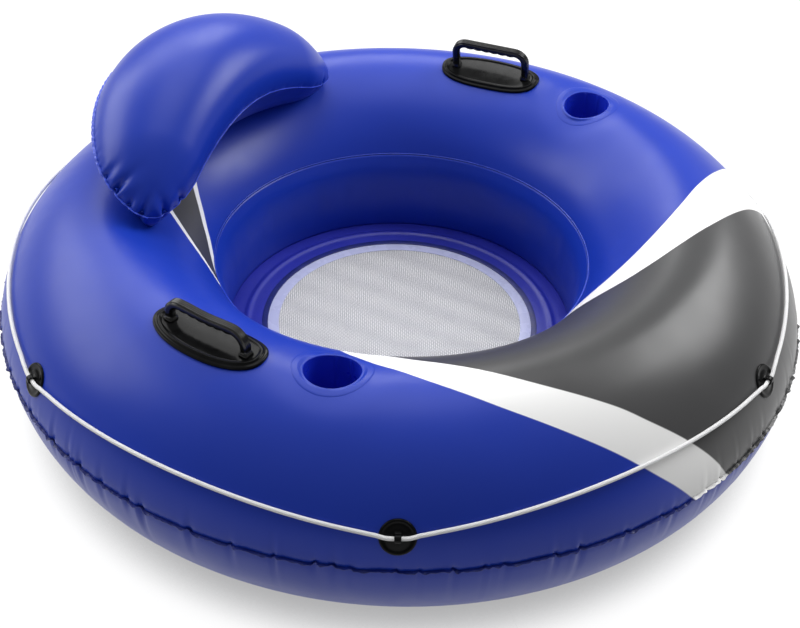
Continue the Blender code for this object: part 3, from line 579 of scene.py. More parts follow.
# Edges of the foot panel: turn about +Z at each section angle. Edges of the wedge by the
# headrest: section angle at each turn.
FOOT_FRONT = (
    (165, -169), (130, -164.5), (114, -159.5), (96, -150),
    (77, -139), (52, -127.5), (18, -117), (0, -112.5),
)
FOOT_FRONT_GREY = (
    (165, -160.5), (130, -155), (116, -149.5), (108, -144.5), (86.5, -133),
    (62, -121.5), (46, -116.5), (25, -111), (0, -106),
)
FOOT_REAR_GREY = (
    (165, -101.5), (140, -96.6), (124, -91.2), (114, -86), (101, -78.6),
    (87, -71.3), (66, -62.4), (44, -56.6), (0, -50),
)
FOOT_REAR = (
    (165, -95.5), (143, -88), (131, -81.6), (118, -73.6), (101, -63.8),
    (87, -56.6), (63, -48.4), (30, -41), (0, -36),
)
WEDGE_LEFT = (
    (70, 0), (76, 22), (88, 52), (100, 80), (112, 106),
    (123.9, 131), (129.7, 142.5), (135.9, 155), (143, 167),
)
WEDGE_RIGHT = (
    (58, 0), (66, 38), (76, 70), (86, 96), (98, 120),
    (108, 138), (115.6, 150), (126.3, 161), (143, 167),
)
WEDGE_NEAR = 57.0
WEDGE_FAR = 143.5
WEDGE_LINE = 2.1
PRINT_BLUR = 0.12
WEDGE_BLUR = 0.2


def printed_vinyl(name, base):
    """A blue sheet with the grey foot panel between white stripes, and the wedge."""
    finish = Finish(name, "blue_vinyl")
    colour, roughness, normal = base(finish)
    round_share, section_share = finish.print_place()
    turn = finish.minus(finish.times(round_share, 360.0), 180.0)
    angle = finish.times(section_share, 180.0)
    upper = finish.math("GREATER_THAN", section_share, -0.1)

    def past(points):
        line = [(section / 180.0, (bearing + 180.0) / 360.0) for section, bearing in points]
        edge = finish.minus(finish.times(finish.curve(section_share, line), 360.0), 180.0)
        return finish.between(finish.minus(turn, edge), -PRINT_BLUR, PRINT_BLUR)

    def edge_angle(points):
        line = [((bearing + 180.0) / 360.0, section / 180.0) for bearing, section in points]
        return finish.times(finish.curve(round_share, line), 180.0)

    white = finish.minus(past(FOOT_FRONT), past(FOOT_REAR), clamp=True)
    grey = finish.minus(past(FOOT_FRONT_GREY), past(FOOT_REAR_GREY), clamp=True)
    near = finish.between(turn, WEDGE_NEAR, WEDGE_NEAR + 3.0)
    far = finish.between(turn, WEDGE_FAR, WEDGE_FAR - 0.5)
    left = finish.minus(angle, edge_angle(WEDGE_LEFT))
    right = finish.minus(edge_angle(WEDGE_RIGHT), angle)
    inside = finish.times(near, far)
    closest = finish.math("MINIMUM", left, right)

    def wedge(edge):
        return finish.times(finish.between(closest, edge - WEDGE_BLUR, edge + WEDGE_BLUR), inside)

    white = finish.times(finish.math("MAXIMUM", white, wedge(-WEDGE_LINE)), upper)
    grey = finish.times(finish.math("MAXIMUM", grey, wedge(WEDGE_LINE)), upper)
    colour = finish.mix(grey, finish.mix(white, colour, PRINT_WHITE), PRINT_GREY)
    roughness = finish.minus(roughness, finish.times(grey, PRINT_POLISH))
    return finish.surface(colour, roughness, normal, Specular_IOR_Level=VINYL_GLOSS)


def blue_vinyl():
    finish = Finish("blue_vinyl_satin", "blue_vinyl")
    return finish.surface(*vinyl_skin(finish), Specular_IOR_Level=VINYL_GLOSS)


# The weld finish: a dark blue that is partly painted shade.
def weld_vinyl_painted_shade():
    finish = Finish("weld_vinyl_painted_shade", "blue_vinyl")
    return finish.surface(*weld_sheets_painted_shade(finish))


def seam_vinyl():
    """The pale raised line of a weld on the blue sheet."""
    finish = Finish("seam_vinyl", "blue_vinyl")
    colour = finish.mix(finish.drifting((30.0,)), (0.045, 0.095, 0.66), (0.030, 0.070, 0.56))
    normal = finish.relief((500.0, 2.0, 0.0002, 0.5))
    return finish.surface(colour, finish.drifting((50.0,), 0.25, 0.36), normal)


def ledge_vinyl():
    """The floor ledge, a little more violet than the ring, with a soft pressed grain."""
    finish = Finish("ledge_vinyl", "blue_vinyl")
    colour = finish.mix(finish.drifting((9.0, 3.0)), (0.023, 0.031, 0.39), (0.019, 0.027, 0.35))
    normal = finish.relief((20.0, 2.0, 0.0008, 1.0), (900.0, 2.0, 0.0001, 0.6))
    return finish.surface(colour, finish.drifting((30.0,), 0.36, 0.46), normal)


def cup_vinyl():
    finish = Finish("cup_vinyl", "blue_vinyl")
    colour = finish.mix(finish.drifting((14.0, 3.0)), (0.010, 0.030, 0.52), (0.008, 0.024, 0.44))
    normal = finish.relief((30.0, 2.0, 0.0010, 1.0), (1000.0, 2.0, 0.00008, 0.5))
    return finish.surface(colour, finish.drifting((34.0,), 0.24, 0.34), normal)


def clear_vinyl():
    finish = Finish("clear_vinyl_strip", "clear_vinyl")
    colour = finish.mix(finish.drifting((8.0, 3.0)), (0.58, 0.61, 0.88), (0.64, 0.67, 0.92))
    normal = finish.relief((24.0, 2.0, 0.0008, 1.0))
    return finish.surface(colour, finish.drifting((40.0,), 0.22, 0.32), normal, Alpha=0.86)


def net_yarn():
    finish = Finish("net_yarn", "net")
    colour = finish.mix(finish.drifting((22.0, 3.0)), (0.48, 0.48, 0.51), (0.54, 0.54, 0.565))
    twist = finish.bump(finish.noise(2200.0, 3.0, 0.6), 0.0002, 0.8)
    return finish.surface(colour, finish.drifting((300.0,), 0.45, 0.62), twist, Sheen_Weight=0.15)


def black_plastic(name, gloss):
    """Moulded black PVC: deep gloss, faint grain, and a soft dull bloom in places."""
    finish = Finish(name, "black_fitting")
    bloom = finish.between(finish.noise(28.0, 4.0, 0.6), 0.45, 0.75)
    colour = finish.mix(bloom, (0.0040, 0.0041, 0.0044), (0.0075, 0.0078, 0.0082))
    normal = finish.relief((40.0, 1.0, 0.0003, 1.0), (1600.0, 2.0, 0.00003, 0.4))
    return finish.surface(colour, finish.drifting((45.0, 4.0), 0.11, 0.19), normal, Specular_IOR_Level=gloss)


def rope_yarn():
    """White braid: crossed strands in relief, with painted shade in the grooves between them."""
    finish = Finish("rope_yarn", "rope")
    lengthways, crossways = finish.print_place()
    around = finish.times(crossways, 8.0 * math.pi)
    along = finish.times(lengthways, 2.0 * math.pi)
    one, other = (
        finish.math("ABSOLUTE", finish.math("SINE", finish.math(operation, around, along)))
        for operation in ("ADD", "SUBTRACT")
    )
    crossing = finish.math("ADD", 0.4, finish.times(0.6, finish.math("MINIMUM", one, other)))
    braid = finish.times(finish.math("MAXIMUM", one, other), crossing)
    clean = finish.mix(finish.drifting((60.0, 3.0)), (0.98, 0.98, 0.98), (0.95, 0.95, 0.955))
    # The grey between the strands is painted shade in the braid's grooves.
    colour = finish.mix(finish.between(braid, 0.15, 0.6), (0.80, 0.80, 0.83), clean)
    strands = finish.bump(braid, 0.0007, 0.9)
    normal = finish.bump(finish.noise(2600.0, 3.0, 0.6), 0.00015, 0.6, strands)
    return finish.surface(colour, 0.72, normal, Sheen_Weight=0.4)


def milky_plastic():
    finish = Finish("milky_plastic_soft", "valve_plastic")
    colour = finish.mix(finish.drifting((60.0, 3.0)), (0.70, 0.73, 0.78), (0.62, 0.66, 0.73))
    normal = finish.relief((120.0, 2.0, 0.0003, 1.0), (900.0, 2.0, 0.00006, 0.5))
    return finish.surface(colour, finish.drifting((80.0,), 0.26, 0.38), normal, Subsurface_Weight=0.1)


# The ring


class Creases:
    """Seeded creases across a seam of a given length."""

    def __init__(self, seed, length, spacing, share=1.0):
        dice = random.Random(seed)
        self.length = length
        self.places = []
        place = dice.uniform(*spacing)
        while place < length - spacing[0] / 2.0:
            self.places.append(
                {
                    "place": place,
                    "depth": share * dice.uniform(*CREASE_DEPTH),
                    "width": dice.uniform(*CREASE_WIDTH),
                    "up": dice.uniform(*CREASE_UP),
                    "down": dice.uniform(*CREASE_DOWN),
                    "jog": share * dice.uniform(*SEAM_JOG),
                    "side": dice.choice((-1.0, -1.0, 1.0)),
                }
            )
            place += dice.uniform(*spacing)

    def offsets(self, along, crease):
        return (along - crease["place"] + self.length / 2.0) % self.length - self.length / 2.0

    def relief(self, along, away, direction):
        """How far the skin stands out, at distances along the seam and away from it."""
        made = np.zeros((len(along), len(away)))
        for crease in self.places:
            offset = self.offsets(along, crease)
            near = np.abs(offset) < 8.0 * crease["width"]
            offset = offset[near]
            valley = -np.exp(-((offset / crease["width"]) ** 2))
            middle = 2.1 * crease["side"] * crease["width"]
            ridge = 0.55 * np.exp(-(((offset - middle) / (1.3 * crease["width"])) ** 2))
            fade = np.exp(-away / crease[direction])
            made[near] += crease["depth"] * np.outer(valley + ridge, fade)
        return made

    def jogs(self, along):
        """How far the seam itself steps up or down."""
        made = np.zeros(len(along))
        for crease in self.places:
            offset = self.offsets(along, crease)
            step = np.tanh(offset / 0.0022) * np.exp(-np.abs(offset) / 0.020)
            made += crease["side"] * crease["jog"] * step
        return made


@functools.cache
def eased_crown():
    """Angles of the upper skin's section and their reach, with the sharp tops of its formula eased."""
    step = 0.5
    fine = np.arange(0.0, 180.01, step)
    reach = np.array([math.hypot(*section_point(angle)) for angle in fine])
    width = int(3.0 * CROWN_SMOOTHING / step)
    kernel = np.exp(-0.5 * (np.arange(-width, width + 1) * step / CROWN_SMOOTHING) ** 2)
    padded = np.concatenate([reach[width:0:-1], reach, reach[-2 : -width - 2 : -1]])
    eased = np.convolve(padded, kernel / kernel.sum(), mode="valid")
    share = np.clip(np.minimum(fine, 180.0 - fine) / CROWN_BLEND, 0.0, 1.0)
    return fine, reach + (eased - reach) * share


def crown_profile(angles):
    """The upper skin's section as it is dressed."""
    reach = np.interp(angles, *eased_crown())
    swing = np.radians(angles)
    return reach * np.cos(swing), reach * np.sin(swing)


def belly_profile(angles):
    return np.array([section_point(angle) for angle in angles]).T


def skin_surface(turn, angle):
    """The upper skin as it is dressed, with its eased crown."""
    across, up = crown_profile(angle)
    return on_circle(turn, CENTRE_RADIUS + float(across), SEAM_HEIGHT + float(up))


def cup_centre(turn):
    return on_circle(turn, CENTRE_RADIUS - CUP_INSET, 0.0)


def cup_dip(x, y):
    """How far the skin is drawn down round the cups."""
    dip = 0.0
    for turn in CUP_TURNS.values():
        centre = cup_centre(turn)
        away = np.maximum(np.hypot(x - centre.x, y - centre.y) - CUP_RADIUS - CUP_FLANGE, 0.0)
        dip = dip + CUP_DIP * np.exp(-((away / CUP_DIP_REACH) ** 2))
    return dip


def skin_top(x, y):
    """Height of the dressed crown over a point of the floor."""
    across, up = crown_profile(np.arange(20.0, 160.1, 0.5))
    rise = np.interp(math.hypot(x, y) - CENTRE_RADIUS, across[::-1], up[::-1])
    return SEAM_HEIGHT + float(rise - cup_dip(x, y))


def line_normals(across, up):
    """Outward normals of a section line that runs from its outer side."""
    steps = np.gradient(np.stack([across, up], axis=1), axis=0)
    steps /= np.linalg.norm(steps, axis=1)[:, None]
    return steps[:, 1], -steps[:, 0]


def skin_points(section, creases, side):
    """A skin's rows of points; the side is 1 for the upper skin and -1 for the lower one."""
    across, up = section
    outwards, upwards = line_normals(across, up)
    turns = turns_round(RING_COLUMNS, -180.0)
    steps = np.hypot(np.diff(across), np.diff(up))
    away = np.concatenate([[0.0], np.cumsum(steps)])
    along = (turns + math.pi) * OUTER_RADIUS
    relief = creases.relief(along, away, "up" if side > 0.0 else "down")
    relief = side * (relief - SEAM_VALLEY * np.exp(-away / SEAM_VALLEY_WIDTH))
    jogs = np.outer(creases.jogs(along), np.exp(-away / SEAM_JOG_WIDTH))
    radius = CENTRE_RADIUS + across + relief * outwards
    return round_rows(turns, radius, SEAM_HEIGHT + up + relief * upwards + jogs)


def covered(points, centre, radius, upright):
    """Which quads lie within a hole's radius of its axis."""
    offset = points - np.asarray(centre)
    axis = np.asarray(upright)
    distance = np.linalg.norm(offset - (offset @ axis)[..., None] * axis, axis=2)
    inside = (distance < radius) & (np.abs(offset @ axis) < 0.08)
    inside = inside | np.roll(inside, -1, axis=0)
    return inside[:, :-1] | inside[:, 1:]


def crowded(start, end, rows, evenness):
    """Angles from one to another that lie closer together near the first."""
    share = np.linspace(0.0, 1.0, rows + 1)
    return start + (end - start) * (evenness * share + (1.0 - evenness) * share**2)


def ring_skins(printed, plain, creases):
    edge = BAND_THICKNESS / 2.0 + GAP
    start = angle_at_rise(edge, 0.0, 60.0)
    end = angle_at_rise(INNER_SEAM_RISE + edge, 120.0, 180.0)
    angles = crowded(start, end, UPPER_ROWS, UPPER_EVENNESS)
    points = skin_points(crown_profile(angles), creases, 1.0)
    points[:, :, 2] -= cup_dip(points[:, :, 0], points[:, :, 1])
    hidden = np.zeros((RING_COLUMNS, UPPER_ROWS), bool)
    for turn in CUP_TURNS.values():
        centre = cup_centre(turn)
        place = (centre.x, centre.y, crown_height(centre.length))
        hidden |= covered(points, place, CUP_HOLE_RADIUS, (0, 0, 1))
    valve = Seat(tube_surface, MAIN_VALVE_TURN, MAIN_VALVE_ANGLE)
    hidden |= covered(points, valve.point, VALVE_NECK_RADIUS + 0.001, valve.normal)
    uv = (np.arange(RING_COLUMNS + 1) / RING_COLUMNS, angles / 180.0)
    rows_mesh("upper_skin_sheet", points, printed, "upper_skin", uv=uv, keep=~hidden)

    start = angle_at_rise(-edge, -60.0, 0.0)
    end = angle_at_rise(INNER_SEAM_RISE - edge, 120.0, 180.0) - 360.0
    angles = crowded(start, end, LOWER_ROWS, LOWER_EVENNESS)
    points = skin_points(belly_profile(angles), creases, -1.0)
    rows_mesh("lower_skin_sheet", points[:, ::-1], plain, "lower_skin")


def outer_flange(weld, creases):
    """The welded edge: thin, wavy, stepping where the skins are gathered."""
    columns = 2 * RING_COLUMNS
    turns = turns_round(columns, -180.0)
    along = (turns + math.pi) * OUTER_RADIUS
    half = BAND_THICKNESS / 2.0
    root = 0.0050
    corners = [(-root, -half), (SEAM_REACH, -0.6 * half), (SEAM_REACH, 0.6 * half), (-root, half)]
    outline = np.array(rounded(corners, 0.5 * half, 3))
    relief = creases.relief(along, np.array([0.0]), "up")[:, 0]
    dice = random.Random(CREASE_SEED + 1)
    ripple = np.zeros(columns)
    teeth = np.zeros(columns)
    for count in (97, 143, 211, 307, 389):
        ripple += 0.00022 * np.sin(turns * count + dice.uniform(0.0, 2.0 * math.pi))
        teeth += 0.00045 * np.sin(turns * count + dice.uniform(0.0, 2.0 * math.pi))
    reach = np.clip((outline[:, 0] + root) / (SEAM_REACH + root), 0.0, 1.0)
    radius = OUTER_RADIUS + outline[:, 0] + (relief + ripple)[:, None] * (0.6 + 0.4 * reach)
    height = SEAM_HEIGHT + outline[:, 1] + creases.jogs(along)[:, None] * (1.0 + 0.4 * reach)
    height += teeth[:, None] * reach**1.5
    side = np.where(outline[:, 1] >= 0.0, 0.0, -1.0)
    uv = (np.arange(columns + 1) / columns, np.append(side, side[0]))
    points = round_rows(turns, radius, height)
    rows_mesh("outer_weld_edge", points, weld, "outer_weld_band", closed=True, uv=uv)


def inner_seam_radius():
    return CENTRE_RADIUS + section_point(angle_at_rise(INNER_SEAM_RISE, 120.0, 180.0))[0]


def inner_seam(seam):
    """A fine raised line where the seat wall is welded to the ring."""
    radius = inner_seam_radius() - 0.0004
    height = SEAM_HEIGHT + INNER_SEAM_RISE + 0.0002
    swings = [2.0 * math.pi * i / 12 for i in range(12)]
    outline = [(radius + 0.0009 * math.cos(swing), height + 0.0008 * math.sin(swing)) for swing in swings]
    turned_about_z("inner_weld_line", outline, seam, "inner_weld_band")


def through(points, steps):
    """A smooth line through 2-D points."""
    points = [np.asarray(point, float) for point in points]
    padded = [2.0 * points[0] - points[1], *points, 2.0 * points[-1] - points[-2]]
    made = []
    for i in range(1, len(padded) - 2):
        a, b, c, d = padded[i - 1 : i + 3]
        bend = 2.0 * a - 5.0 * b + 4.0 * c - d
        for step in range(steps):
            t = step / steps
            made.append(0.5 * (2.0 * b + (c - a) * t + bend * t**2 + (3.0 * b - a - 3.0 * c + d) * t**3))
    made.append(points[-1])
    return np.array(made)


def seat_wall(plain):
    """The lining of the hole, slack and a little wavy between its two seams."""
    lining = WALL_FACE - WALL_THICKNESS
    line = through(
        [
            (WALL_FOOT - WALL_THICKNESS, LEDGE_HEIGHT + GAP),
            (lining, LEDGE_HEIGHT + 0.026),
            (lining - 0.0006, LEDGE_HEIGHT + 0.058),
            (lining - 0.0002, SEAM_HEIGHT - 0.009),
            (lining + 0.0019, SEAM_HEIGHT + 0.012),
            (lining + 0.0058, SEAM_HEIGHT + 0.029),
            (inner_seam_radius() - 0.0020, SEAM_HEIGHT + INNER_SEAM_RISE - 0.0016),
        ],
        6,
    )
    turns = turns_round(WELL_COLUMNS)
    across, up = line.T
    sway = np.sin(math.pi * (up - up[0]) / (up[-1] - up[0])) ** 2
    waves = ((0.0007, 9.0, 0.6), (0.0005, 17.0, 2.0), (0.0003, 31.0, 0.0))
    wave = sum(size * np.sin(count * turns + start) for size, count, start in waves)
    front = across + wave[:, None] * sway
    back = np.broadcast_to(across[::-1] + 0.0009, front.shape)
    points = round_rows(turns, np.concatenate([back, front], axis=1), np.concatenate([up[::-1], up]))
    rows_mesh("seat_wall_sheet", points[:, ::-1], plain, "seat_wall", closed=True)


def floor_ledge(ledge_finish, weld):
    """The ledge round the floor with its raised ridge, and the hem that holds the border."""
    outside = WALL_FOOT - 0.0004
    ridge = WALL_FOOT - RIDGE_INSET
    radii = np.linspace(outside, LEDGE_EDGE, 72)
    lift = 0.72 * RIDGE_RISE * np.exp(-(((radii - ridge) / 0.0052) ** 2))
    lift += 0.0009 * np.sin(math.pi * np.clip((WALL_FOOT - radii) / (WALL_FOOT - ridge), 0.0, 1.0))
    lift += 0.0006 * np.sin(math.pi * np.clip((ridge - radii) / (ridge - LEDGE_EDGE), 0.0, 1.0))
    low = LEDGE_HEIGHT - LEDGE_THICKNESS
    profile = [(LEDGE_EDGE, low), (outside, low), *zip(radii, LEDGE_HEIGHT + lift)]
    turned_about_z("floor_ledge_sheet", profile, ledge_finish, "floor_ledge")
    # The hem takes the weld's dark blue, which is partly painted shade along the ledge's inner edge.
    corners = [(LEDGE_EDGE - 0.0085, BORDER_TOP + 0.0001), (LEDGE_EDGE + 0.0012, LEDGE_HEIGHT - 0.0004)]
    corners += [(LEDGE_EDGE + 0.0012, LEDGE_HEIGHT + 0.0011), (LEDGE_EDGE - 0.0082, BORDER_TOP + 0.0012)]
    turned_about_z("floor_ledge_hem", rounded(corners, 0.0005, 3), weld)


def mesh_border(clear):
    low = BORDER_TOP - BORDER_THICKNESS
    outside = BORDER_INSIDE + BORDER_WIDTH
    corners = [(BORDER_INSIDE, low), (outside, low), (outside, BORDER_TOP), (BORDER_INSIDE, BORDER_TOP)]
    turned_about_z("mesh_border_strip", rounded(corners, 0.0004, 3), clear, "mesh_border", columns=360)


def net_floor(yarn):
    """Straight yarns in three directions, each family at its own level."""
    middle = BORDER_TOP - BORDER_THICKNESS - GAP - NET_THICKNESS / 2.0
    radius = BORDER_INSIDE + NET_HOLD
    count = int(radius / NET_PITCH)
    points = []
    faces = []
    for bearing, level in NET_FAMILIES:
        along = on_circle(bearing, 1.0, 0.0)
        across = on_circle(bearing + 90.0, 1.0, 0.0)
        for i in range(-count, count + 1):
            offset = i * NET_PITCH
            half = math.sqrt(max(radius**2 - offset**2, 0.0))
            if half < SHORTEST_YARN / 2.0:
                continue
            base = len(points)
            for end in (-half, half):
                centre = along * end + across * offset
                for side in range(6):
                    swing = math.pi * side / 3.0
                    place = centre + across * YARN_HALF_WIDTH * math.cos(swing)
                    points.append((place.x, place.y, middle + level + YARN_HALF_HEIGHT * math.sin(swing)))
            for side in range(6):
                after = (side + 1) % 6
                faces.append((base + side, base + after, base + 6 + after, base + 6 + side))
            faces.append(tuple(base + side for side in range(6)))
            faces.append(tuple(base + 11 - side for side in range(6)))
    mesh = bpy.data.meshes.new("mesh_floor_net")
    mesh.from_pydata(points, [], faces)
    finished("mesh_floor_net", mesh, yarn, "mesh_floor")


def cup_holder(side, turn, finish, skin):
    """A deep cup with upright creases inside, and a flat lip that runs out on to the crown."""
    centre = cup_centre(turn)
    outwards = on_circle(turn, 1.0, 0.0)
    shift, drop, lean = CUP_MOUTHS[side]
    floor = crown_height(centre.length) - CUP_DEPTH
    base = CUP_RADIUS - CUP_TAPER - 0.001
    top = skin_top(centre.x, centre.y) + CUP_DIP - drop
    away = CAMERA_BEARING + 180.0

    def mouth_height(point):
        level = top + lean * (point - centre).dot(outwards)
        crown = skin_top(point.x, point.y) - 0.0008
        return CUP_MOUTH_LEVEL * level + (1.0 - CUP_MOUTH_LEVEL) * crown

    def fold(bearing):
        """How far the wall's upright creases stand inwards."""
        inwards = 0.0
        for crease in CUP_CREASES:
            offset = math.radians((bearing - away - crease + 180.0) % 360.0 - 180.0) * CUP_RADIUS
            inwards += CUP_CREASE_DEPTH * math.exp(-((offset / CUP_CREASE_WIDTH) ** 2))
        return inwards

    def wall(radius, share, height):
        points = []
        for bearing in CUP_BEARINGS:
            point = centre + on_circle(bearing, radius - fold(bearing), 0.0)
            point += outwards * shift * share
            low = floor + height
            point.z = low + (mouth_height(point) - 0.0030 - low) * share
            points.append(point)
        return points

    def lip(radius, share, height):
        points = []
        for bearing in CUP_BEARINGS:
            point = centre + on_circle(bearing, radius, 0.0)
            point += outwards * shift * (1.0 - share)
            mouth = mouth_height(point)
            crown = skin_top(point.x, point.y) + 0.0004
            point.z = mouth + (crown - mouth) * share + height
            points.append(point)
        return points

    well = [Vector((centre.x, centre.y, floor + 0.0004))]
    well += [wall(share * (base - CUP_CORNER), 0.0, 0.0) for share in (0.25, 0.5, 0.75, 0.92)]
    for swing in spread(0.0, 90.0, 6):
        reach = math.radians(swing)
        radius = base - CUP_CORNER + CUP_CORNER * math.sin(reach)
        well.append(wall(radius, 0.0, CUP_CORNER * (1.0 - math.cos(reach))))
    for share in spread(0.0, 1.0, 10)[1:]:
        well.append(wall(base + share * (CUP_MOUTH_RADIUS - base), share, CUP_CORNER * (1.0 - share)))
    edge = CUP_MOUTH_RADIUS
    well += [lip(edge, 0.0, -0.0014), lip(edge + 0.0004, 0.0, -0.0004)]
    rings_mesh(f"cup_holder_{side}_fine", well, finish, f"cup_holder_{side}")

    end = CUP_RADIUS + CUP_FLANGE
    start = edge + 0.0022
    flat = end - 0.0080
    rings = [lip(edge + 0.0004, 0.0, -0.0004), lip(edge + 0.0011, 0.0, 0.0001)]
    for share in spread(0.0, 1.0, 8):
        rings.append(lip(start + share * (flat - start), eased_share(share), 0.0))
    rings += [lip(flat + reach, 1.0, 0.0) for reach in (0.0020, 0.0040, 0.0060)]
    rings += [lip(end, 1.0, -0.0002), lip(end + 0.0015, 1.0, -0.0010)]
    lay_print(rings_mesh(f"cup_lip_{side}", rings, skin))


def lay_print(piece):
    """Gives a piece on the ring the print map of the skin below it."""
    mesh = piece.data
    layer = mesh.uv_layers.new(name="print")
    for loop in mesh.loops:
        x, y, z = mesh.vertices[loop.vertex_index].co
        turn = math.degrees(math.atan2(y, x))
        angle = math.degrees(math.atan2(z - SEAM_HEIGHT, math.hypot(x, y) - CENTRE_RADIUS))
        layer.data[loop.index].uv = ((turn + 180.0) / 360.0, angle / 180.0)


# Handles


def oval_ring(seat, inset, lift, scale=1.0):
    """A ring round the handle's base, inside its edge by the inset and then scaled."""
    half_length = scale * (HANDLE_BASE_LENGTH / 2.0 - inset)
    half_width = scale * (HANDLE_BASE_WIDTH / 2.0 - inset)
    power = 2.0 / HANDLE_BASE_POWER
    points = []
    for i in range(120):
        bearing = 2.0 * math.pi * i / 120
        u = math.copysign(abs(math.cos(bearing)) ** power, math.cos(bearing))
        v = math.copysign(abs(math.sin(bearing)) ** power, math.sin(bearing))
        points.append(seat.lying(u * half_length, v * half_width, lift))
    return points


def handle_base(side, seat, black):
    """An oval plate with a raised bead, dished inside the bead."""
    top = HANDLE_BASE_TOP
    edge = [(0.0006, -0.0012), (0.0, 0.0006), (0.0001, top - 0.0016), (0.0007, top - 0.0005)]
    edge += [(0.0018, top), (0.0034, top)]
    for swing in spread(180.0, 0.0, 12):
        reach = math.radians(swing)
        edge.append((BEAD_INSET + 0.0024 * math.cos(reach), top + 0.0020 * math.sin(reach)))
    inside = BEAD_INSET + 0.0050
    level = top - 0.0004
    edge.append((inside, level))
    rings = [oval_ring(seat, inset, lift) for inset, lift in edge]
    for scale in (0.82, 0.55, 0.28):
        rings.append(oval_ring(seat, inside, level - BASE_DISH * (1.0 - scale**2), scale))
    rings.append(seat.lying(0.0, 0.0, level - BASE_DISH))
    rings_mesh(f"{side}_handle_base_fine", rings, black, f"{side}_handle_base")


def handle_grip(side, seat, black):
    """Two posts and a top bar: places along the span, heights, leans, finger bumps and sizes."""
    half = GRIP_SPAN / 2.0
    crest = GRIP_HEIGHTS[side] - GRIP_THICKNESS / 2.0
    foot = seat.height_of(seat.lying(half, 0.0, HANDLE_BASE_TOP)) - 0.0008
    post = [(foot, 1.34), (foot + 0.0012, 1.34), (foot + 0.0030, 1.26), (foot + 0.0046, 1.08)]
    post += [(foot + 0.0062, 1.0), ((foot + crest - GRIP_BEND) / 2.0 + 0.003, 0.98)]
    stations = [(-half, height, 0.0, 0.0, size) for height, size in post]
    for lean in spread(0.0, 90.0, 10):
        swing = math.radians(lean)
        u = -half + GRIP_BEND * (1.0 - math.cos(swing))
        stations.append((u, crest - GRIP_BEND * (1.0 - math.sin(swing)), lean, 0.0, 1.0))
    mirrored = [(-u, height, 180.0 - lean, bump, size) for u, height, lean, bump, size in stations]
    reach = half - GRIP_BEND
    for share in spread(0.0, 1.0, 12 * FINGER_BUMPS)[1:-1]:
        bump = abs(math.sin(math.pi * FINGER_BUMPS * share)) * FINGER_BUMP_RISE
        sag = GRIP_SAGS[side] * math.sin(math.pi * share) ** 2
        stations.append((-reach + 2.0 * reach * share, crest - sag, 90.0, bump, 1.0))
    rings = []
    for u, height, lean, bump, size in stations + mirrored[::-1]:
        swing = math.radians(lean)
        rings.append(
            [
                seat.standing(u - depth * math.cos(swing), across, height + depth * math.sin(swing))
                for depth, across in grip_outline(size, bump)
            ]
        )
    rings_mesh(f"{side}_handle_grip_fine", capped(rings), black, f"{side}_handle_grip")


def grip_outline(size, bump):
    """Half-thickness and half-width round the grip: ribbed on top, rounded under the fingers."""
    half = size * GRIP_THICKNESS / 2.0
    width = size * GRIP_TOP_WIDTH / 2.0
    outline = []
    for share in spread(-1.0, 1.0, 20):
        rib = 0.0011 * math.cos(2.0 * math.pi * share) ** 2 if size < 1.05 else 0.0
        edge = max(abs(share) - 0.80, 0.0) / 0.20
        outline.append((half - rib - 0.0030 * edge**2, share * width * (1.0 - 0.02 * edge)))
    for share in spread(0.75, -0.75, 6):
        outline.append((share * half * 0.8, width * (1.0 + 0.03 * (1.0 - share**2))))
    for share in spread(0.92, -0.92, 12):
        round_off = 0.0026 * max(abs(share) - 0.45, 0.0) ** 2 / 0.3
        outline.append((-half - bump * (1.0 - 0.25 * share**2) + round_off, share * width))
    for share in spread(-0.75, 0.75, 6):
        outline.append((share * half * 0.8, -width * (1.0 + 0.03 * (1.0 - share**2))))
    return outline


# Round pieces on a seat


def lying(*pairs):
    """Radii and heights that follow the surface below them."""
    return [("lying", radius, height) for radius, height in pairs]


def standing(*pairs):
    """Radii and heights about the seat's own axis."""
    return [("standing", float(radius), float(height)) for radius, height in pairs]


def seat_turned(seat, name, profile, finish, node=None, body="tube", closed=True, steps=56):
    """A profile turned about a seat's axis."""
    rings = []
    for kind, radius, height in profile:
        if radius == 0.0:
            rings.append(seat.standing(0.0, 0.0, height))
            continue
        place = seat.lying if kind == "lying" else seat.standing
        swings = [2.0 * math.pi * i / steps for i in range(steps)]
        rings.append([place(radius * math.cos(swing), radius * math.sin(swing), height) for swing in swings])
    return rings_mesh(name, rings, finish, node, body, closed)


# Rope and its patches


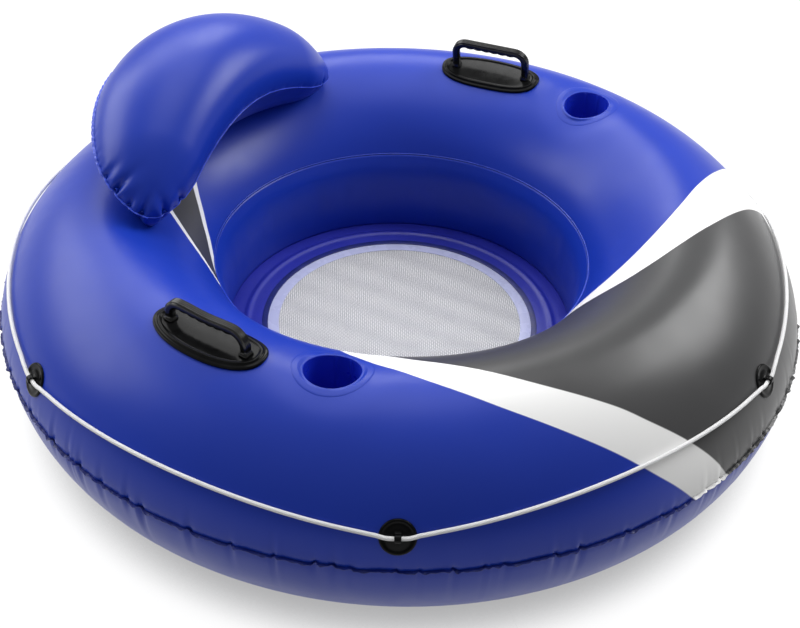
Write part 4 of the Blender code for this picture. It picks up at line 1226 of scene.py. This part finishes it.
def rope_patch(name, seat, black):
    """A welded disc with a rim, and the strap across it that makes its eyelet."""
    top = PATCH_THICKNESS + PAD_LIFT
    edge = PATCH_RADIUS
    profile = lying((edge - 0.0002, -0.0014), (edge, 0.0004), (edge - 0.0002, 0.0014))
    profile += lying((edge - 0.0009, top - 0.0002), (edge - 0.0022, top), (edge - 0.0042, top - 0.0003))
    profile += lying((edge - 0.0054, top - 0.0007), (0.0150, top - 0.0007), (0.0135, top - 0.0003))
    profile += lying((0.0115, top), (0.0060, top + 0.0001), (0.0, top + 0.0001))
    seat_turned(seat, name + "_disc", profile, black, name, closed=False, steps=72)

    bore = ROPE_RADIUS + ROPE_FREE_PLAY
    middle = PAD_LIFT + PATCH_THICKNESS + bore
    sunk = top - 0.0008
    half = EYELET_WIDTH / 2.0
    wall = EYELET_WALL / 2.0
    section = rounded([(-half, -wall), (half, -wall), (half, wall), (-half, wall)], 0.0011, 3)
    line = bore + wall
    foot = [(line + 0.0034, sunk - 0.0004, 35.0), (line + 0.0014, sunk + 0.0004, 20.0)]
    foot.append((line + 0.0003, sunk + 0.0016, 6.0))
    path = list(foot)
    for turn in spread(0.0, 180.0, 18):
        swing = math.radians(turn)
        path.append((line * math.cos(swing), middle + line * math.sin(swing), turn))
    path += [(-v, height, 180.0 - turn) for v, height, turn in foot[::-1]]
    rings = []
    for v, height, turn in path:
        across, up = math.cos(math.radians(turn)), math.sin(math.radians(turn))
        rings.append([seat.standing(u, v + thick * across, height + thick * up) for u, thick in section])
    rings_mesh(name + "_eyelet", capped(rings), black)


def rope_angle(turn):
    """Section angle of the rope, which rides up between its patches."""
    patches = sorted((place % 360.0, angle, rise) for place, angle, rise in ROPE_PATCHES)
    patches.append((patches[0][0] + 360.0, patches[0][1], patches[0][2]))
    turn = turn % 360.0
    if turn < patches[0][0]:
        turn += 360.0
    past = eased_share((from_patch(turn) - ROPE_CROSSING[0]) / (ROPE_CROSSING[1] - ROPE_CROSSING[0]))
    for (low, low_angle, rise), (high, high_angle, _) in zip(patches[:-1], patches[1:]):
        if low <= turn <= high:
            share = (turn - low) / (high - low)
            return low_angle + (high_angle - low_angle) * share + rise * math.sin(math.pi * share) * past
    return patches[0][1]


def from_patch(turn):
    """Distance along the rope to its nearest patch, in radii of the patch."""
    radius = CENTRE_RADIUS + section_point(ROPE_PATCHES[0][1])[0]
    nearest = min(abs((turn - place + 180.0) % 360.0 - 180.0) for place, *_ in ROPE_PATCHES)
    return math.radians(nearest) * radius / PATCH_RADIUS


def rope_height(turn):
    at_patch = PAD_LIFT + PATCH_THICKNESS + ROPE_FREE_PLAY + ROPE_RADIUS
    return at_patch + (ROPE_LIFT - at_patch) * eased_share(from_patch(turn) - ROPE_CROSSING[1])


def tube_along(name, path, radius, finish, node=None, sides=10):
    """A round tube along a line, with a UV map along it and round it."""
    path = np.array([tuple(point) for point in path])
    steps = np.gradient(path, axis=0)
    steps /= np.linalg.norm(steps, axis=1)[:, None]
    side = np.cross(steps[0], (0.0, 0.0, 1.0))
    points = np.empty((len(path), sides, 3))
    swings = np.arange(sides) * 2.0 * math.pi / sides
    for i, (point, step) in enumerate(zip(path, steps)):
        side = side - step * (side @ step)
        side /= np.linalg.norm(side)
        up = np.cross(side, step)
        points[i] = point + radius * (np.cos(swings)[:, None] * side + np.sin(swings)[:, None] * up)
    lengths = np.concatenate([[0.0], np.cumsum(np.linalg.norm(np.diff(path, axis=0), axis=1))])
    uv = (lengths / BRAID_PITCH, np.arange(sides + 1) / sides)
    return rows_mesh(name, points, finish, node, around=False, closed=True, uv=uv)


def grab_rope(yarn):
    """The rope round the ring, and the knot that joins its ends at the back."""
    radius = CENTRE_RADIUS + section_point(ROPE_PATCHES[0][1])[0]
    knot = math.degrees((KNOT_LENGTH / 2.0 + GAP) / radius)
    path = []
    for turn in spread(KNOT_TURN + knot, KNOT_TURN + 360.0 - knot, 1300):
        seat = Seat(tube_surface, turn, rope_angle(turn))
        path.append(seat.standing(0.0, 0.0, rope_height(turn)))
    rope = tube_along("grab_rope_braid", path, ROPE_RADIUS, yarn, "grab_rope", sides=12)

    seat = Seat(tube_surface, KNOT_TURN, rope_angle(KNOT_TURN))
    middle = KNOT_WIDTH / 2.0 + 4.0 * GAP
    coil = []
    for share in spread(0.0, 1.0, 72):
        swing = 2.0 * math.pi * KNOT_COILS * share
        u = (share - 0.5) * (KNOT_LENGTH - 0.006)
        v = KNOT_COIL_RADIUS * math.cos(swing)
        coil.append(seat.standing(u, v, middle + KNOT_COIL_RADIUS * math.sin(swing)))
    tie = tube_along("rope_knot_coil", coil, 0.0029, yarn, "rope_knot")
    end = KNOT_LENGTH / 2.0 + 0.001
    core = [seat.standing(u, 0.0, middle) for u in spread(-end, end, 10)]
    heart = tube_along("rope_knot_core", core, ROPE_RADIUS, yarn)


# Headrest


def headrest_width(station):
    reach = abs(station)
    width = HEADREST_HALF_WIDTH - HEADREST_TAPER * reach**2
    end = max((reach - HEADREST_END_START) / (1.0 - HEADREST_END_START), 0.0)
    power = HEADREST_END_POWER
    return width * max(1.0 - min(end, 1.0) ** power, 0.0) ** (1.0 / power)


def headrest_surface(station, angle):
    """The headrest's skin; the angle is 0 at the front seam and 180 at the back one."""
    width = headrest_width(station)
    share = width / HEADREST_HALF_WIDTH
    swing = math.radians(HEADREST_HALF_SPAN) * station
    tilt = math.radians(HEADREST_TILT + HEADREST_END_TWIST * station**2)
    side = -math.cos(math.radians(angle))
    bulge = math.sin(math.radians(angle))
    across = side * width
    middle = CENTRE_RADIUS - HEADREST_INSET
    seam = SEAM_HEIGHT + CROWN_RISE + HEADREST_SEAM_LIFT - HEADREST_END_DROP * station**2
    rise = 0.0
    drop = 0.0
    if bulge >= 0.0:
        crown = HEADREST_CROWN * (1.0 + HEADREST_END_FULLNESS * station**2) * share
        rise = bulge * crown
        across += HEADREST_CROWN_LEAN * rise
    else:
        tuck = 1.0 if side < 0.0 else eased_share((abs(station) - HEADREST_TUCK_START) / HEADREST_TUCK_REACH)
        power = HEADREST_BELLY_POWER + (HEADREST_TUCKED_POWER - HEADREST_BELLY_POWER) * tuck
        drop = (-bulge) ** power * HEADREST_BELLY * share
    radius = HEADREST_CURVE + across * math.cos(tilt) - rise * math.sin(tilt)
    height = seam + across * math.sin(tilt) + rise * math.cos(tilt) - drop
    x = middle - HEADREST_CURVE + radius * math.cos(swing)
    y = radius * math.sin(swing)
    if bulge < 0.0:
        height = max(height, crown_height(math.hypot(x, y)) + HEADREST_CLEARANCE)
    turn = math.degrees(math.atan2(y, x)) + HEADREST_TURN
    return on_circle(turn, math.hypot(x, y), height)


def headrest_from_back(station, angle):
    return headrest_surface(station, 180.0 - angle)


# Deep folds at the headrest's ends: station, angle, depth, width and length
HEADREST_FOLDS = (
    (0.835, 180.0, 0.0046, 0.0034, 0.018),
    (0.900, 180.0, 0.0078, 0.0040, 0.028),
    (0.962, 180.0, 0.0044, 0.0034, 0.014),
    (0.995, 180.0, 0.0062, 0.0038, 0.026),
    (0.968, 0.0, 0.0062, 0.0038, 0.020),
    (0.880, 0.0, 0.0050, 0.0038, 0.016),
    (-0.880, 180.0, 0.0050, 0.0036, 0.018),
    (-0.945, 180.0, 0.0070, 0.0038, 0.022),
    (-0.990, 0.0, 0.0066, 0.0038, 0.020),
    (-0.900, 0.0, 0.0034, 0.0034, 0.012),
)

# Fine creases on its seam: stations from and to, angle, then ranges of depth, width, length and spacing
HEADREST_PUCKERS = (
    (-0.78, -0.30, 180.0, (0.0008, 0.0017), (0.0024, 0.0034), (0.005, 0.012), (0.024, 0.044)),
    (0.16, 0.80, 180.0, (0.0008, 0.0017), (0.0024, 0.0034), (0.005, 0.012), (0.024, 0.044)),
    (-0.80, 0.80, 0.0, (0.0003, 0.0008), (0.0030, 0.0045), (0.005, 0.010), (0.10, 0.22)),
)


def headrest_creases():
    """Places on the seam, directions along it, depths, widths and lengths of its creases."""
    dice = random.Random(5)
    places = list(HEADREST_FOLDS)
    for station, end, angle, *ranges, spacing in HEADREST_PUCKERS:
        while station < end:
            places.append((station, angle, *(dice.uniform(*limits) for limits in ranges)))
            station += dice.uniform(*spacing)
    made = []
    for station, angle, *sizes in places:
        ahead = headrest_surface(min(station + 0.01, 0.9999), angle)
        behind = headrest_surface(max(station - 0.01, -0.9999), angle)
        made.append((headrest_surface(station, angle), (ahead - behind).normalized(), *sizes))
    return made


def crease_relief(points, creases):
    """How far points move along their normals, for creases that run in from a seam."""
    moved = np.zeros(len(points))
    for seam, tangent, depth, width, length in creases:
        offset = points - np.array(seam)
        across = offset @ np.array(tangent)
        distance = np.linalg.norm(offset, axis=1)
        away = np.sqrt(np.maximum(distance**2 - across**2, 0.0))
        spread_out = width * (1.0 + 0.5 * away / length)
        valley = -np.exp(-((across / spread_out) ** 2))
        ridge = 0.32 * np.exp(-(((np.abs(across) - 2.3 * spread_out) / (1.3 * spread_out)) ** 2))
        moved += depth * (valley + ridge) * np.exp(-((away / length) ** 1.5))
    return moved


def headrest(plain, seam_finish):
    """The cushion, creased along its seam, and its welded edge."""
    creases = headrest_creases()
    sides = 160
    stations = [math.sin(math.pi / 2.0 * i / 130.0) for i in range(-129, 130)]
    angles = [360.0 * i / sides for i in range(sides)]
    grid = np.array([[tuple(headrest_surface(station, angle)) for angle in angles] for station in stations])
    columns = np.gradient(grid, axis=0)
    rows = (np.roll(grid, -1, axis=1) - np.roll(grid, 1, axis=1)) / 2.0
    normals = np.cross(rows, columns)
    normals /= np.maximum(np.linalg.norm(normals, axis=2), 1e-9)[..., None]
    middle = grid.mean(axis=1, keepdims=True)
    outward = np.sign(((grid - middle) * normals).sum(axis=2).mean())
    relief = crease_relief(grid.reshape(-1, 3), creases).reshape(grid.shape[:2])
    grid = grid + normals * outward * relief[..., None]
    rings = [[Vector(point) for point in row] for row in grid]
    tips = [headrest_surface(end, 0.0) for end in (-1.0, 1.0)]
    pillow = rings_mesh("headrest_cushion", [tips[0], *rings, tips[1]], plain, "headrest_pillow")
    headrest_edge(seam_finish, creases)


def headrest_edge(finish, creases):
    """The welded edge round the headrest, wavy along its back."""
    stations = [math.sin(math.pi / 2.0 * i / 300.0) for i in range(-300, 301)]
    loop = [(station, 0.0) for station in stations] + [(station, 180.0) for station in stations[-2:0:-1]]
    points = [headrest_surface(*place) for place in loop]
    moved = crease_relief(np.array([tuple(point) for point in points]), creases)
    half = HEADREST_BAND_THICKNESS / 2.0
    rings = []
    along = 0.0
    for i, ((station, angle), point) in enumerate(zip(loop, points)):
        along += (point - points[i - 1]).length if i else 0.0
        tangent = (points[(i + 3) % len(points)] - points[i - 3]).normalized()
        tilt = math.radians(HEADREST_TILT + HEADREST_END_TWIST * station**2)
        inwards = on_circle(HEADREST_TURN + HEADREST_HALF_SPAN * station, -math.sin(tilt), 0.0)
        up = (inwards + Vector((0.0, 0.0, math.cos(tilt)))).normalized()
        outward = up.cross(tangent).normalized()
        at_back = angle > 90.0
        rough = (1.0 if at_back else 0.2) * (0.55 + 0.45 * math.sin(17.0 * along + 1.0))
        wave = sum(size * math.sin(count * along + start) for size, count, start in HEADREST_EDGE_WAVES)
        wave = 0.0008 * rough * wave + 0.30 * moved[i]
        reach = HEADREST_BAND_REACH * (0.75 if at_back else 0.35) + 0.45 * moved[i]
        section = rounded([(-0.004, -half), (reach, -half), (reach, half), (-0.004, half)], 0.0005, 2)
        ring = []
        for out, rise in section:
            rise += wave * (0.3 + 0.7 * max(out, 0.0) / HEADREST_BAND_REACH)
            ring.append(point + outward * float(out) + up * float(rise))
        rings.append(ring)
    rings_mesh("headrest_weld_edge", rings, finish, "headrest_weld_band", closed=True)


# Valves


def softened(corners, radius):
    """Corners of a standing profile, rounded."""
    return standing(*rounded(corners, radius, 3))


def strap(seat, name, start, end, low, high, finish, body):
    """A short flexible strap with rounded sides."""
    rings = []
    for share in spread(0.0, 1.0, 10):
        u = start + (end - start) * share
        bow = 0.0005 * math.sin(math.pi * share)
        half = STRAP_WIDTH / 2.0 * (1.0 - 0.18 * math.sin(math.pi * share))
        bottom, top = low + bow, high + bow
        section = rounded([(-half, bottom), (half, bottom), (half, top), (-half, top)], 0.0006, 2)
        rings.append([seat.standing(u, float(v), float(h)) for v, h in section])
    rings_mesh(name, capped(rings), finish, body=body)


def main_valve(milky):
    """A welded flange and neck, a plug that pulls out with its flap, and a cap."""
    seat = Seat(tube_surface, MAIN_VALVE_TURN, MAIN_VALVE_ANGLE)
    neck = VALVE_NECK_RADIUS
    bore = neck - VALVE_NECK_WALL
    top = PAD_LIFT + VALVE_FLANGE_THICKNESS
    rim = VALVE_NECK_RISE
    edge = VALVE_FLANGE_RADIUS
    profile = lying((edge, -0.001), (edge, top - 0.0012), (edge - 0.0006, top - 0.0003), (edge - 0.0016, top))
    profile += lying((edge - 0.0036, top - 0.0004), (edge - 0.0048, top - 0.0004), (edge - 0.0058, top))
    profile += lying((neck + 0.0026, top))
    profile += standing((neck + 0.0004, rim - 0.0010), (neck - 0.0003, rim - 0.0002), (neck - 0.0009, rim))
    profile += standing((bore + 0.0004, rim - 0.0001), (bore, rim - 0.0006), (bore, -VALVE_NECK_DEPTH))
    profile += standing((neck, -VALVE_NECK_DEPTH), (neck, -0.004))
    seat_turned(seat, "main_valve_flange", profile, milky, "main_valve_base")

    lip_low = rim + GAP
    lip_top = lip_low + SEAT_LIP
    plug_low = lip_low - SEAT_DEPTH
    hinge = neck + 2.0 * VALVE_NECK_WALL
    plug_end = math.sqrt((hinge + bore) ** 2 - SEAT_DEPTH**2) - hinge - 2.0 * VALVE_PLAY
    flap = SEAT_BORE_RADIUS + FLAP_OVERLAP
    pocket = flap + 2.0 * VALVE_PLAY
    roof = plug_low + 4.0 * FLAP_THICKNESS
    corners = [(SEAT_BORE_RADIUS, lip_top), (neck, lip_top), (neck, lip_low), (bore - VALVE_PLAY, lip_low)]
    corners += [(plug_end, plug_low), (pocket, plug_low), (pocket, roof), (SEAT_BORE_RADIUS, roof)]
    profile = softened(corners, 0.0006)
    seat_turned(seat, "main_valve_plug", profile, milky, "main_valve_seat", "valve_seat")
    strap(seat, "main_valve_plug_strap", neck - SEAT_LIP, hinge, lip_low, lip_top, milky, "valve_seat")

    top = roof - GAP
    low = top - FLAP_THICKNESS
    profile = standing((0.0, top), (flap - 0.0003, top), (flap, top - 0.0003), (flap, low + 0.0002))
    profile += standing((flap - 0.0003, low), (0.0, low))
    seat_turned(seat, "main_valve_flap_disc", profile, milky, "main_valve_flap", "valve_flap", closed=False)
    valve_cap(seat, "main_valve_cap", SEAT_BORE_RADIUS, lip_top, milky, "valve_cap")


def valve_cap(seat, node, bore, face, finish, body):
    """A lid with a stub that plugs the bore below it, on a short strap."""
    low = face + GAP
    top = low + CAP_THICKNESS
    radius = bore + CAP_OVERLAP
    hinge = radius + CAP_OVERLAP / 2.0
    stub_low = low - CAP_STUB_DEPTH
    stub_end = math.sqrt((hinge + bore) ** 2 - CAP_STUB_DEPTH**2) - hinge - 2.0 * VALVE_PLAY
    profile = standing((0.0, top - 0.0005), (0.55 * radius, top - 0.0005), (0.68 * radius, top - 0.0001))
    profile += standing((0.76 * radius, top), (radius - 0.0009, top), (radius - 0.0003, top - 0.0003))
    profile += standing((radius, top - 0.0010), (radius, low + 0.0002), (radius - 0.0003, low))
    profile += standing((bore - VALVE_PLAY, low), (stub_end, stub_low), (0.0, stub_low))
    seat_turned(seat, node + "_lid", profile, finish, node, body, closed=False)
    strap(seat, node + "_strap", -hinge, -bore, low, top - CAP_THICKNESS / 3.0, finish, body)


def headrest_valve(milky):
    """A welded flange, a stem that pushes in, and its stopper."""
    seat = Seat(headrest_from_back, STEM_STATION, STEM_BACK_ANGLE)
    bore = STEM_RADIUS + VALVE_PLAY
    wall = bore + STEM_WALL
    edge = STEM_FLANGE_RADIUS
    top = PAD_LIFT + STEM_FLANGE_THICKNESS
    low = PAD_LIFT - STEM_FLANGE_THICKNESS
    profile = lying((edge, -0.0008), (edge, top - 0.0009), (edge - 0.0005, top - 0.0002))
    profile += lying((edge - 0.0013, top), (edge - 0.0030, top - 0.0003), (wall + 0.0015, top - 0.0002))
    profile += standing((wall, top), (bore + 0.0003, top), (bore, top - 0.0003), (bore, low), (wall, low))
    seat_turned(seat, "headrest_valve_flange", profile, milky, "headrest_valve_base")
    inside = STEM_RADIUS - STEM_WALL
    lip = STEM_RADIUS + STEM_LIP
    corners = [(inside, STEM_RISE), (lip, STEM_RISE), (lip, STEM_RISE - STEM_LIP)]
    corners += [(STEM_RADIUS, STEM_RISE - 2.0 * STEM_LIP), (STEM_RADIUS, -STEM_DEPTH), (inside, -STEM_DEPTH)]
    profile = softened(corners, 0.0004)
    seat_turned(seat, "headrest_valve_tube", profile, milky, "headrest_valve_stem", "headrest_stem")
    valve_cap(seat, "headrest_valve_stopper", inside, STEM_RISE, milky, "headrest_stopper")


# Camera, light and floor


def camera():
    """The photograph's camera, solved from the ring's outlines."""
    data = bpy.data.cameras.new("photo_camera")
    data.sensor_width = 36.0
    data.lens = FOCAL_PIXELS / PICTURE_WIDTH * data.sensor_width
    data.shift_x = (PICTURE_WIDTH / 2.0 - PRINCIPAL[0]) / PICTURE_WIDTH
    data.shift_y = (PRINCIPAL[1] - PICTURE_HEIGHT / 2.0) / PICTURE_WIDTH
    place = Vector(CAMERA_PLACE)
    forward = -place.normalized()
    right = forward.cross(Vector((0.0, 0.0, 1.0))).normalized()
    up = right.cross(forward)
    roll = math.radians(CAMERA_ROLL)
    across = right * math.cos(roll) + up * math.sin(roll)
    upwards = up * math.cos(roll) - right * math.sin(roll)
    item = bpy.data.objects.new("photo_camera", data)
    item.matrix_world = Matrix.Translation(place) @ Matrix((across, upwards, -forward)).transposed().to_4x4()
    bpy.context.scene.collection.objects.link(item)
    bpy.context.scene.camera = item


def from_camera(bearing, elevation):
    """A direction; its bearing counts from straight behind the object, as the camera sees it."""
    turn = math.radians(CAMERA_BEARING + 180.0 - bearing)
    rise = math.radians(elevation)
    return Vector((math.cos(turn) * math.cos(rise), math.sin(turn) * math.cos(rise), math.sin(rise)))


def softbox(name, bearing, elevation, distance, size, power):
    data = bpy.data.lights.new(name, "AREA")
    data.shape = "RECTANGLE"
    data.size, data.size_y = size
    data.energy = power
    place = from_camera(bearing, elevation) * distance
    item = bpy.data.objects.new(name, data)
    item.location = place
    item.rotation_euler = (Vector(LIGHTS_AIM) - place).to_track_quat("-Z", "Y").to_euler()
    bpy.context.scene.collection.objects.link(item)


def sky_dome():
    """A soft dome, brightest high behind the object."""
    world = bpy.data.worlds.new("studio")
    bpy.context.scene.world = world
    world.use_nodes = True
    nodes = Nodes(world.node_tree)
    background = nodes.tree.nodes["Background"]
    nodes.put(background.inputs[0], (1.0, 1.0, 1.0))
    towards = nodes.node("ShaderNodeVectorMath", operation="DOT_PRODUCT")
    nodes.link(nodes.node("ShaderNodeTexCoord").outputs["Generated"], towards.inputs[0])
    towards.inputs[1].default_value = from_camera(0.0, SKY_ELEVATION)
    nodes.put(background.inputs[1], nodes.between(towards.outputs["Value"], -0.5, 1.0, 0.04, 0.62))


def pale_floor():
    """A pale floor that shows white to the eye, in gloss and through clear pieces, and keeps the object's
    shadow; its glow is darkened near the object as a painted contact shadow.
    """
    corners = ((-1.0, -1.0), (1.0, -1.0), (1.0, 1.0), (-1.0, 1.0))
    mesh = bpy.data.meshes.new("studio_floor")
    mesh.from_pydata([(FLOOR_REACH * x, FLOOR_REACH * y, -0.0004) for x, y in corners], [], [(0, 1, 2, 3)])
    item = bpy.data.objects.new("studio_floor", mesh)
    bpy.context.scene.collection.objects.link(item)
    finish = Finish("studio_floor")
    finish.put(finish.shader.inputs["Base Color"], (0.12, 0.12, 0.12))
    finish.shader.inputs["Roughness"].default_value = 0.9
    finish.shader.inputs["Specular IOR Level"].default_value = 0.0
    path = finish.node("ShaderNodeLightPath").outputs
    shown = finish.math("MAXIMUM", path["Is Camera Ray"], path["Is Glossy Ray"])
    shown = finish.math("MAXIMUM", shown, path["Is Transmission Ray"])
    # Ambient occlusion darkens the floor's glow near the object: a painted contact shadow.
    near = finish.node("ShaderNodeAmbientOcclusion", samples=12)
    near.inputs["Distance"].default_value = 0.08
    pale = finish.between(near.outputs["AO"], 0.15, 0.90, 0.40, 0.95, smooth=True)
    white = finish.node("ShaderNodeEmission")
    finish.link(finish.times(pale, finish.between(shown, 0.0, 1.0, 0.30, 1.0)), white.inputs[1])
    both = finish.node("ShaderNodeAddShader")
    finish.link(finish.shader.outputs[0], both.inputs[0])
    finish.link(white.outputs[0], both.inputs[1])
    finish.link(both.outputs[0], finish.tree.nodes["Material Output"].inputs[0])
    mesh.materials.append(finish.material)


def studio():
    softbox("top_light", -6.0, 80.0, 3.0, (1.6, 1.9), 20.0)
    softbox("back_light", -3.0, 42.0, 3.2, (0.8, 1.2), 15.0)
    softbox("far_light", -32.0, 46.0, 3.0, (1.5, 1.2), 17.0)
    softbox("right_light", 64.0, 42.0, 3.0, (1.6, 1.3), 54.0)
    softbox("left_light", -74.0, 33.0, 3.0, (2.4, 1.4), 44.0)
    sky_dome()
    pale_floor()
    bpy.context.scene.view_settings.view_transform = "Standard"


def dress():
    printed = printed_vinyl("printed_vinyl", vinyl_skin)
    plain = blue_vinyl()
    weld = weld_vinyl_painted_shade()
    seam = seam_vinyl()
    cup = cup_vinyl()
    black = black_plastic("black_plastic", 0.09)
    grip_black = black_plastic("black_grip", 0.45)
    milky = milky_plastic()
    creases = Creases(CREASE_SEED, 2.0 * math.pi * OUTER_RADIUS, CREASE_SPACING)

    grab_rope(rope_yarn())
    ring_skins(printed, plain, creases)
    # The weld edge's dark blue is partly painted shade of the seam's groove.
    outer_flange(printed_vinyl("printed_weld_painted_shade", weld_sheets_painted_shade), creases)
    inner_seam(seam)
    seat_wall(plain)
    floor_ledge(ledge_vinyl(), weld)
    mesh_border(clear_vinyl())
    net_floor(net_yarn())
    for side, turn in CUP_TURNS.items():
        cup_holder(side, turn, cup, printed)
    for side, (turn, angle) in HANDLES.items():
        seat = Seat(skin_surface, turn, angle)
        handle_base(side, seat, black)
        handle_grip(side, seat, grip_black)
    for number, (turn, angle, _) in enumerate(ROPE_PATCHES, start=1):
        rope_patch(f"rope_patch_{number}", Seat(tube_surface, turn, angle), black)
    headrest(plain, seam)
    main_valve(milky)
    headrest_valve(milky)


camera()
studio()
dress()
